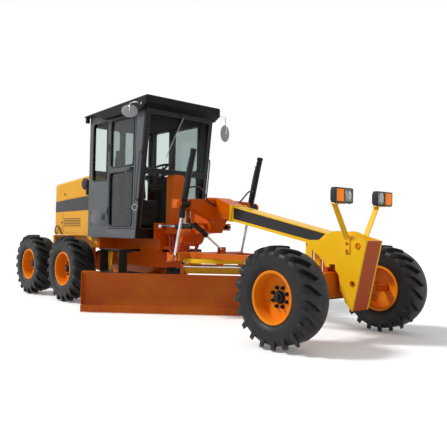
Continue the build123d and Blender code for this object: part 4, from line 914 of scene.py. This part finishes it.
class GRADER_OT_mirrors(GraderOperator, bpy.types.Operator):
    """Two oval mirrors on bent chromed arms"""
    bl_idname = "grader.mirrors"
    bl_label = "Mirrors"

    def execute(self, context):
        heads, faces, arms = bmesh.new(), bmesh.new(), bmesh.new()
        for (x, y, z), facing, half_wide, half_tall, foot_x in MIRRORS:
            middle = at(x, y, z)
            way = Vector((*facing, 0))
            turn = Matrix.Rotation(math.atan2(facing[1], facing[0]), 4, "Z")
            stretch = (Matrix.Translation(middle) @ turn @ Matrix.Diagonal((1, half_wide, half_tall, 1))
                       @ turn.inverted() @ Matrix.Translation(-middle))
            for bm, profile in ((heads, MIRROR_HEAD), (faces, MIRROR_FACE)):
                before = set(bm.verts)
                add_turned(bm, profile, middle, way, 56)
                bmesh.ops.transform(bm, matrix=stretch, verts=made_of(bm, before))
            out = math.copysign(1, y)
            over = at(x, y, MIRROR_ARM_Z)
            add_pipe(arms, [
                middle + way * 0.012, middle + way * 0.024 + Vector((0, 0, 0.03)),
                over - Vector((0, 0, 0.04)), over, at((x + foot_x) / 2, y, MIRROR_ARM_Z),
                at(foot_x, y, MIRROR_ARM_Z), at(foot_x, y - out * 0.04, MIRROR_ARM_Z),
                at(foot_x, out * MIRROR_FOOT_OUT, MIRROR_ARM_Z),
            ], MIRROR_ARM_R)
            add_box(arms, at(foot_x - 0.022, out * MIRROR_FOOT_OUT, MIRROR_ARM_Z - 0.018),
                    at(foot_x + 0.022, out * (MIRROR_FOOT_OUT + 0.006), MIRROR_ARM_Z + 0.014), 0.002)
        piece("mirror_heads", heads, "silver", "rear_frame", "mirrors")
        piece("mirror_glasses", faces, "mirror", "rear_frame")
        piece("mirror_arms", arms, "chrome", "rear_frame", weld=False)
        return {"FINISHED"}


STEERING_WHEEL_R = 0.18
STEERING_LEAN = math.radians(-27)
LEVERS = 4
STEERING_HUB = ((0, 0.02), (0.03, 0.018), (0.045, 0.0), (0.04, -0.03), (0, -0.03))


class GRADER_OT_cab_inside(GraderOperator, bpy.types.Operator):
    """Steering wheel, levers, pedals and head liner inside the cab"""
    bl_idname = "grader.cab_inside"
    bl_label = "Cab inside"

    def execute(self, context):
        bm = bmesh.new()
        lean = Matrix.Rotation(STEERING_LEAN, 4, "Y")
        hub = at(-3.44, 0, 2.105)

        def round_wheel(angle):
            return lean @ (Vector((math.cos(angle), math.sin(angle), 0)) * STEERING_WHEEL_R)

        add_pipe(bm, [hub + round_wheel(math.tau * i / 48) for i in range(48)], 0.013, closed=True)
        add_turned(bm, STEERING_HUB, hub, lean @ Vector((0, 0, 1)), 32)
        for angle in (90, 210, 330):
            add_rod(bm, hub, hub + round_wheel(math.radians(angle)), 0.009, 12)
        for side in BOTH:
            here = on_side(side)
            for i in range(LEVERS):
                foot = here(-3.38 + 0.02 * i, 0.13 + 0.035 * i, 1.86)
                knob = foot + Vector((-0.03, side * 0.01, 0.17 + 0.01 * i))
                add_rod(bm, foot, knob, 0.005, 10)
                got = bmesh.ops.create_uvsphere(bm, u_segments=16, v_segments=10, radius=0.017,
                                                matrix=Matrix.Translation(knob))
                bmesh.ops.scale(bm, vec=(1, 1, 1.25), space=Matrix.Translation(-knob), verts=got["verts"])
            add_box(bm, here(-3.42, 0.11, 1.80), here(-3.28, 0.27, 1.865), 0.01)
            add_box(bm, here(-3.36, 0.2, 1.12), here(-3.30, 0.29, 1.20), 0.006)
        piece("cab_controls", bm, "plastic", "rear_frame")
        bm = bmesh.new()
        add_box(bm, at(-4.60, -0.58, 2.895), at(-3.04, 0.58, 2.925), 0.01)
        piece("head_liner", bm, "liner", "rear_frame")
        return {"FINISHED"}


CLOTH_STEPS = 14
SEAMS = (0.3, 0.7)
SEAM_WIDTH = 0.009
SEAM_DEPTH = 0.010


def use_modifier(obj, modifier):
    """Applies a modifier."""
    bpy.context.view_layer.objects.active = obj
    bpy.ops.object.modifier_apply(modifier=modifier.name)


def stuffed(name, low, high, crown):
    """A sewn cushion: a soft closed form between two corners, swollen by the cloth solver."""
    low, high = Vector(low), Vector(high)
    bm = bmesh.new()
    shrink = Vector((0.02, 0.02, 0.012))
    add_box(bm, low + shrink, high - shrink, 0.03)
    obj = new_object(name, bm)
    remesh = obj.modifiers.new("remesh", "REMESH")
    remesh.mode = "VOXEL"
    remesh.voxel_size = 0.014
    use_modifier(obj, remesh)
    still = [v.co.copy() for v in obj.data.vertices]
    cloth = obj.modifiers.new("cloth", "CLOTH")
    cloth.settings.use_pressure = True
    cloth.settings.uniform_pressure_force = 4.0
    cloth.settings.effector_weights.gravity = 0.0
    cloth.point_cache.frame_start = 1
    cloth.point_cache.frame_end = CLOTH_STEPS
    for step in range(1, CLOTH_STEPS + 1):
        bpy.context.scene.frame_set(step)
    use_modifier(obj, cloth)
    bpy.context.scene.frame_set(1)
    wide, middle = high.y - low.y, (low + high) / 2
    for vert, start in zip(obj.data.vertices, still):
        move = vert.co - start
        if move.length > crown:
            vert.co = start + move * (crown / move.length)
        along = (vert.co.y - low.y) / wide
        for seam in SEAMS:
            dip = math.exp(-(((along - seam) * wide) / SEAM_WIDTH) ** 2)
            vert.co += (middle - vert.co).normalized() * SEAM_DEPTH * dip
    subdivide = obj.modifiers.new("subdivide", "SUBSURF")
    subdivide.levels = subdivide.render_levels = 1
    use_modifier(obj, subdivide)
    obj.data.shade_smooth()
    obj.data.materials.append(FINISHES["cloth"])
    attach(obj, "rear_frame")
    return obj


class GRADER_OT_seat(GraderOperator, bpy.types.Operator):
    """The driver's seat: a sewn cushion and back on a plastic pan"""
    bl_idname = "grader.seat"
    bl_label = "Seat"

    def execute(self, context):
        low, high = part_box("seat")
        cushion = stuffed("seat_cushion", (low.x + 0.075, low.y + 0.01, low.z + 0.01),
                          (high.x, high.y - 0.01, low.z + 0.12), 0.02)
        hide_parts("seat")
        back = stuffed("seat_back", (low.x, low.y + 0.03, low.z + 0.14),
                       (low.x + 0.11, high.y - 0.03, high.z - 0.02), 0.018)
        lean = (Matrix.Translation((low.x + 0.16, 0, low.z + 0.1)) @ Matrix.Rotation(math.radians(-7), 4, "Y")
                @ Matrix.Translation((-low.x - 0.13, 0, -low.z - 0.1)))
        back.data.transform(lean)
        bm = bmesh.new()
        add_box(bm, (low.x + 0.07, low.y, low.z - 0.015), (high.x - 0.01, high.y, low.z + 0.02), 0.008)
        add_box(bm, (low.x + 0.05, low.y + 0.1, low.z), (low.x + 0.08, high.y - 0.1, low.z + 0.42), 0.008)
        for y in (low.y + 0.01, high.y - 0.06):
            add_box(bm, (low.x + 0.12, y, low.z + 0.28), (high.x - 0.12, y + 0.05, low.z + 0.32), 0.012)
        piece("seat_pan", bm, "plastic", "rear_frame")
        return {"FINISHED"}


# ---------------------------------------------------------------- hood
HOOD_STRIPE = ((-6.132, 1.46), (-4.688, 1.49), (-4.688, 1.735), (-6.132, 1.65))
HOOD_PANELS = (
    ((-6.10, 1.09), (-5.82, 1.09), (-5.82, 1.448), (-6.10, 1.445)),
    ((-5.80, 1.09), (-4.72, 1.09), (-4.72, 1.470), (-5.80, 1.450)),
    ((-5.80, 1.68), (-4.72, 1.745), (-4.72, 1.93), (-5.80, 1.875)),
)
HOOD_LOCKS = ((-5.86, 1.27), (-4.75, 1.27), (-5.76, 1.78), (-4.76, 1.86))
HOOD_LOCK = ((0, 0.012), (0.014, 0.012), (0.018, 0.007), (0.018, 0), (0, 0))
HOOD_HANDLE = ((-6.10, 0.0, 1.055), (-6.10, 0.03, 1.09), (-6.06, 0.035, 1.18), (-5.98, 0.035, 1.215),
               (-5.89, 0.035, 1.17), (-5.86, 0.03, 1.09), (-5.86, 0.0, 1.055))
LOUVRES = 5
LOUVRE_LOW = 1.2
LOUVRE_PITCH = 0.029


class GRADER_OT_hood_trim(GraderOperator, bpy.types.Operator):
    """Side panels, stripes, latches and rear lamps of the engine hood"""
    bl_idname = "grader.hood_trim"
    bl_label = "Hood trim"

    def execute(self, context):
        stripes, panels, dark = bmesh.new(), bmesh.new(), bmesh.new()
        for side in BOTH:
            out = Vector((0, side, 0))
            skin = on_side(side, HOOD_HALF)
            add_plate(stripes, [skin(x, PAINT_GAP, z) for x, z in HOOD_STRIPE], out * 0.0055)
            for corners in HOOD_PANELS:
                add_plate(panels, [skin(x, PAINT_GAP, z) for x, z in corners], out * 0.005, 0.02, 0.0015)
            for x, z in HOOD_LOCKS:
                add_turned(dark, HOOD_LOCK, skin(x, 0.004, z), out, 24)
            for i in range(LOUVRES):
                z = LOUVRE_LOW + i * LOUVRE_PITCH
                add_box(dark, skin(-5.785, 0.003, z + 0.0155), skin(-5.155, 0.0065, z + 0.0275))
            add_pipe(dark, [skin(*point) for point in HOOD_HANDLE], 0.010)
        for y in (-0.43, 0.43):
            add_box(dark, at(-6.155, y - 0.03, 1.62), at(-6.138, y + 0.03, 1.80), 0.008)
        piece("hood_stripes", stripes, "stripe", "rear_frame")
        piece("hood_panels", panels, "hood", "rear_frame")
        piece("hood_fittings", dark, "plastic", "rear_frame")
        return {"FINISHED"}


# ---------------------------------------------------------------- cylinders and hoses
LIFT_LEAN = math.radians(14.55)
LIFT_PIN = (-2.063, 0.61, 1.52)
LIFT_BANDS = (
    # along the barrel from, to, radius
    (-0.187, -0.135, 0.0445), (0.700, 0.731, 0.0435), (0.640, 0.660, 0.0405),
)
LIFT_PORTS = (-0.10, 0.60)
LIFT_PIPE = ((0.60, -0.055), (0.52, -0.07), (0.05, -0.062), (-0.03, -0.06))
LIFT_HOSE = ((-1.93, 0.44, 1.74), (-1.93, 0.36, 1.66), (-1.96, 0.30, 1.58), (-1.98, 0.22, 1.54),
             (-1.98, 0.12, 1.51))
LIFT_PIPE_R = 0.007
LIFT_HOSE_R = 0.011
HINGE_HOSE_R = 0.016
LIFT_EYE = (-2.25, 0.80)
HINGE_HOSES = (
    # across, how low it sags, how far forward its bend hangs
    (-0.17, 0.86, 0.0), (-0.13, 0.80, 0.02), (0.12, 0.84, 0.03), (0.16, 0.88, 0.0),
)


class GRADER_OT_cylinders(GraderOperator, bpy.types.Operator):
    """Glands, end caps and hoses of the hydraulic cylinders, and the hoses over the hinge"""
    bl_idname = "grader.cylinders"
    bl_label = "Cylinder fittings"

    def execute(self, context):
        up = Vector((math.sin(LIFT_LEAN), 0, math.cos(LIFT_LEAN)))
        for name, side in SIDES:
            here = on_side(side)
            pin = here(*LIFT_PIN)

            def on_barrel(along, forward=0.0):
                return pin + up * along + Vector((forward, 0, 0))

            bm = bmesh.new()
            for foot, tip, radius in LIFT_BANDS:
                add_rod(bm, on_barrel(foot), on_barrel(tip), radius, 40, 0.003)
            for i in range(6):
                spoke = Matrix.Rotation(math.tau * i / 6, 3, up) @ Vector((0, 0.028, 0))
                add_hex_bolt(bm, on_barrel(LIFT_BANDS[1][1]) + spoke, up, 0.006, 0.006)
            for along in LIFT_PORTS:
                boss = on_barrel(along, -0.03)
                add_rod(bm, boss, boss + Vector((-0.035, 0, 0.006)), 0.013, 6, 0.002)
            add_pipe(bm, [on_barrel(*point) for point in LIFT_PIPE], LIFT_PIPE_R)
            piece(f"lift_glands_{name}", bm, "black", f"lift_barrel_{name}", weld=False)
            bm = bmesh.new()
            start = on_barrel(0.22, 0.02) + Vector((0, -side * 0.03, 0))
            route = [start, start + Vector((0.05, -side * 0.05, 0.02)),
                     *(here(*point) for point in LIFT_HOSE)]
            add_pipe(bm, route, LIFT_HOSE_R)
            hose = piece(f"lift_hose_{name}", bm, "hose", "front_frame", weld=False)
            bridge(hose, route[4], route[1])

            bm = bmesh.new()
            for x in (-2.585, -2.27):
                add_rod(bm, here(x, 0.3, 1.225), here(x - 0.036, 0.3, 1.225), 0.042, 32, 0.003)
            add_rod(bm, here(-2.33, 0.3, 1.255), here(-2.33, 0.3, 1.285), 0.012, 6)
            piece(f"hinge_cylinder_glands_{name}", bm, "black", f"articulation_barrel_{name}")

            bm = bmesh.new()
            x, _, z = LIFT_PIN
            for radius, reach in ((0.05, 0.018), (0.03, 0.03)):
                add_rod(bm, here(x, 0.712, z), here(x, 0.712 + reach, z), radius, 32, 0.003)
            piece(f"lift_pivot_cap_{name}", bm, "orange", "front_frame")
            bm = bmesh.new()
            x, z = LIFT_EYE
            for reach, radius in ((0.664, 0.036), (0.672, 0.022)):
                add_rod(bm, here(x, 0.655, z), here(x, reach, z), radius, 32, 0.002)
            add_rod(bm, here(x, 0.586, z), here(x, 0.64, z), 0.018, 24)
            piece(f"lift_eye_pin_{name}", bm, "orange", "drawbar")

        bm = bmesh.new()
        for y, sag, reach in HINGE_HOSES:
            add_pipe(bm, [at(*point) for point in (
                (-3.09, y, 1.13), (-3.00 + reach, y, 1.12), (-2.93 + reach, y - 0.02, 1.04),
                (-2.90 + reach, y - 0.04, sag), (-2.80, y - 0.05, sag - 0.06), (-2.70, y - 0.03, sag),
                (-2.67, y, 1.02), (-2.64, y, 1.10), (-2.58, y, 1.14),
            )], HINGE_HOSE_R)
        loops = piece("hinge_hoses", bm, "red_hose", "rear_frame", weld=False)
        bridge(loops, at(-2.96, 0, 1.0), at(-2.68, 0, 1.0))
        return {"FINISHED"}


# ---------------------------------------------------------------- blade group
EDGE_BOLTS = 20
EDGE_BOLTS_FROM = -1.80
EDGE_BOLTS_SPAN = 3.14
EDGE_BOLT_ROWS = (0.045, 0.078)
END_PLATE = ((0.066, 0.110), (0.066, 0.556), (0.02, 0.556), (-0.052, 0.40), (-0.062, 0.28), (-0.05, 0.16),
             (0.0, 0.110))


class GRADER_OT_blade_trim(GraderOperator, bpy.types.Operator):
    """Bolts along the blade, its end plates and the teeth of the circle"""
    bl_idname = "grader.blade_trim"
    bl_label = "Blade trim"

    def execute(self, context):
        turned = Matrix.Rotation(BLADE_TURN, 4, "Z")
        face = turned.to_3x3() @ Vector((1, 0, 0))
        along = turned.to_3x3() @ Vector((0, 1, 0))
        bm = bmesh.new()
        for i in range(EDGE_BOLTS):
            for z in EDGE_BOLT_ROWS:
                foot = on_blade(0.069, EDGE_BOLTS_FROM + i * EDGE_BOLTS_SPAN / (EDGE_BOLTS - 1), z)
                add_rod(bm, foot, foot + face * 0.003, 0.011, 16, 0.001)
        piece("edge_bolts", bm, "blade", "blade")
        bm = bmesh.new()
        for y in (-1.8785, 1.4125):
            add_plate(bm, [on_blade(x, y, z) for x, z in END_PLATE], along * 0.007, edge=0.002)
        before = set(bm.verts)
        add_box(bm, (0, 0, 0), (0.02, 0.27, 0.028), 0.003)
        bmesh.ops.transform(
            bm, matrix=Matrix.Translation(on_blade(0.046, -1.87, 0.552)) @ turned, verts=made_of(bm, before),
        )
        piece("blade_end_plates", bm, "blade", "blade")

        bm = bmesh.new()
        middle = at(CIRCLE_X, 0, 0)
        add_box(bm, middle + Vector((0.352, -0.008, 0.74)), middle + Vector((0.372, 0.008, 0.788)))
        add_copies(bm, bm.verts[:] + bm.faces[:], middle, (0, 0, 1), context.scene.grader.teeth)
        piece("circle_teeth", bm, "steel", "circle")
        return {"FINISHED"}


STEP_TOPS = (0.517, 0.862)
STEP_BACK = -3.90
STEP_BARS = 12
STEP_BAR_PITCH = 0.042
STEP_GUSSET = ((-3.95, 0.822), (-3.77, 0.822), (-3.84, 0.517), (-3.88, 0.517))


class GRADER_OT_steps(GraderOperator, bpy.types.Operator):
    """Raised tread bars and gussets on the boarding steps"""
    bl_idname = "grader.steps"
    bl_label = "Step treads"

    def execute(self, context):
        bars, gussets = bmesh.new(), bmesh.new()
        for side in BOTH:
            here = on_side(side)
            for z in STEP_TOPS:
                for i in range(STEP_BARS):
                    x = STEP_BACK + i * STEP_BAR_PITCH
                    add_box(bars, here(x, 0.66, z - 0.001), here(x + 0.016, 0.765, z + 0.004), 0.0015)
            add_plate(gussets, [here(x, 0.644, z) for x, z in STEP_GUSSET], (0, side * 0.008, 0), edge=0.0015)
        piece("step_treads", bars, "steel", "rear_frame")
        piece("step_gussets", gussets, "hood", "rear_frame")
        return {"FINISHED"}


def sided(*kinds):
    """The names of CAD pieces that there are two of."""
    return [f"{kind}_{side}" for kind in kinds for side, _ in SIDES]


class GRADER_OT_finishes(GraderOperator, bpy.types.Operator):
    """Finishes of the pieces that come from the frame"""
    bl_idname = "grader.finishes"
    bl_label = "Finishes"

    def execute(self, context):
        dress("yellow", "circle", "lamp_arms")
        dress("beam", "gooseneck")
        dress("nose", "bolster")
        dress("hood", "hood")
        dress("chassis", "rear_frame")
        dress("orange", "drawbar", "front_axle", "tandem_axle", "valve_tower", *sided("knuckle"))
        dress("blade", "moldboard", "cutting_edge")
        dress("cab", "cab_frame", "cab_floor", *sided("door"))
        dress("roof", "cab_roof")
        dress("black", "tie_rod", "steering_barrel", "centre_shift_barrel", "side_shift_barrel",
              "boarding_steps", "exhaust_stack", "console", "seat_base", "radiator_grille",
              *sided("lift_barrel", "articulation_barrel"))
        dress("chrome", "steering_rod", "centre_shift_rod", "side_shift_rod",
              *sided("lift_rod", "articulation_rod"))
        dress("glass", "cab_glass")
        dress("door_glass", *sided("door_glass"))
        dress("iron", "engine")
        return {"FINISHED"}


# ---------------------------------------------------------------- stage
WHITE = (1, 1, 1, 1)
FLOOR_LIFT = 0.14
SUN_FROM = (-0.45, -0.62, 0.75)
CAMERA_PLACE = (3.904, -5.161, 1.172)
CAMERA_YAW, CAMERA_PITCH, CAMERA_ROLL = 138.661, 1.578, 1.114
CAMERA_LENS = 45.77
CAMERA_SHIFT = -0.0185


def seen(tree):
    """1 for rays that show a thing directly, in a mirror or through glass, 0 for those that light others."""
    rays = add_node(tree, "LightPath").outputs
    direct = add_node(tree, "Math", {0: rays["Is Camera Ray"], 1: rays["Is Glossy Ray"]},
                      operation="MAXIMUM")
    return add_node(tree, "Math", {0: direct, 1: rays["Is Transmission Ray"]}, operation="MAXIMUM")


class GRADER_OT_stage(GraderOperator, bpy.types.Operator):
    """Pale studio floor, soft light and the camera"""
    bl_idname = "grader.stage"
    bl_label = "Stage"

    def execute(self, context):
        self.floor(context.scene)
        self.light(context.scene)
        self.camera(context.scene)
        context.scene.view_settings.view_transform = "Standard"
        return {"FINISHED"}

    def floor(self, scene):
        material, tree, shader, _ = new_finish("StudioFloor", {"Roughness": 0.9})
        shown = seen(tree)
        tone = add_node(tree, "Mix", {"Factor": shown, "A": linear(scene.grader.floor), "B": WHITE},
                        data_type="RGBA")
        fill(tree, shader, {"Base Color": tone})
        lift = add_node(tree, "Math", {0: shown, 1: FLOOR_LIFT}, operation="MULTIPLY")
        glow = add_node(tree, "Emission", {"Color": WHITE, "Strength": lift})
        total = add_node(tree, "AddShader", {0: shader, 1: glow})
        fill(tree, tree.nodes["Material Output"], {"Surface": total})
        bm = bmesh.new()
        bmesh.ops.create_circle(bm, cap_ends=True, segments=96, radius=60.0,
                                matrix=Matrix.Translation((0, 0, -0.001)))
        floor = new_object("studio_floor", bm)
        floor.data.materials.append(material)

    def light(self, scene):
        world = bpy.data.worlds.new("StudioWorld")
        world.use_nodes = True
        tree = world.node_tree
        tree.nodes.clear()
        even = add_node(tree, "Background", {"Color": WHITE, "Strength": scene.grader.fill})
        white = add_node(tree, "Background", {"Color": WHITE, "Strength": 1.0})
        pick = add_node(tree, "MixShader", {0: seen(tree), 1: even, 2: white})
        add_node(tree, "OutputWorld", {"Surface": pick})
        scene.world = world

        key = bpy.data.lights.new("key_light", "SUN")
        key.energy = scene.grader.key
        key.angle = math.radians(12)
        lamp = bpy.data.objects.new("key_light", key)
        scene.collection.objects.link(lamp)
        lamp.rotation_euler = Vector(SUN_FROM).to_track_quat("Z", "Y").to_euler()

    def camera(self, scene):
        yaw, pitch, roll = (math.radians(a) for a in (CAMERA_YAW, CAMERA_PITCH, CAMERA_ROLL))
        ahead = Vector((math.cos(yaw) * math.cos(pitch), math.sin(yaw) * math.cos(pitch), math.sin(pitch)))
        right = Vector((math.sin(yaw), -math.cos(yaw), 0))
        up = right.cross(ahead)
        side = right * math.cos(roll) + up * math.sin(roll)
        top = up * math.cos(roll) - right * math.sin(roll)
        data = bpy.data.cameras.new("camera")
        data.lens = CAMERA_LENS
        data.sensor_width = 36.0
        data.shift_y = CAMERA_SHIFT
        data.clip_end = 300.0
        camera = bpy.data.objects.new("camera", data)
        camera.matrix_world = Matrix((side, top, -ahead)).transposed().to_4x4()
        camera.location = at(*CAMERA_PLACE)
        scene.collection.objects.link(camera)
        scene.camera = camera


class GRADER_PT_panel(bpy.types.Panel):
    """The grader's pieces, in the order in which they are made"""
    bl_idname = "GRADER_PT_panel"
    bl_label = "Motor grader"
    bl_space_type = "VIEW_3D"
    bl_region_type = "UI"
    bl_category = "Grader"

    def draw(self, context):
        column = self.layout.column()
        for name in GraderSizes.__annotations__:
            column.prop(context.scene.grader, name)
        for operator in OPERATORS:
            column.operator(operator.bl_idname)


OPERATORS = (
    GRADER_OT_finishes, GRADER_OT_tyres, GRADER_OT_rims, GRADER_OT_front_frame, GRADER_OT_lamps,
    GRADER_OT_cab_trim, GRADER_OT_mirrors, GRADER_OT_cab_inside, GRADER_OT_seat, GRADER_OT_hood_trim,
    GRADER_OT_cylinders, GRADER_OT_blade_trim, GRADER_OT_steps, GRADER_OT_stage,
)


def register():
    for cls in (GraderSizes, *OPERATORS, GRADER_PT_panel):
        bpy.utils.register_class(cls)
    bpy.types.Scene.grader = bpy.props.PointerProperty(type=GraderSizes)


def unregister():
    del bpy.types.Scene.grader
    for cls in reversed((GraderSizes, *OPERATORS, GRADER_PT_panel)):
        bpy.utils.unregister_class(cls)


def main():
    register()
    make_finishes(bpy.context.scene.grader)
    for operator in OPERATORS:
        group, name = operator.bl_idname.split(".")
        if getattr(getattr(bpy.ops, group), name)() != {"FINISHED"}:
            raise RuntimeError(f"{operator.bl_label} did not finish")


if __name__ == "__main__":
    main()
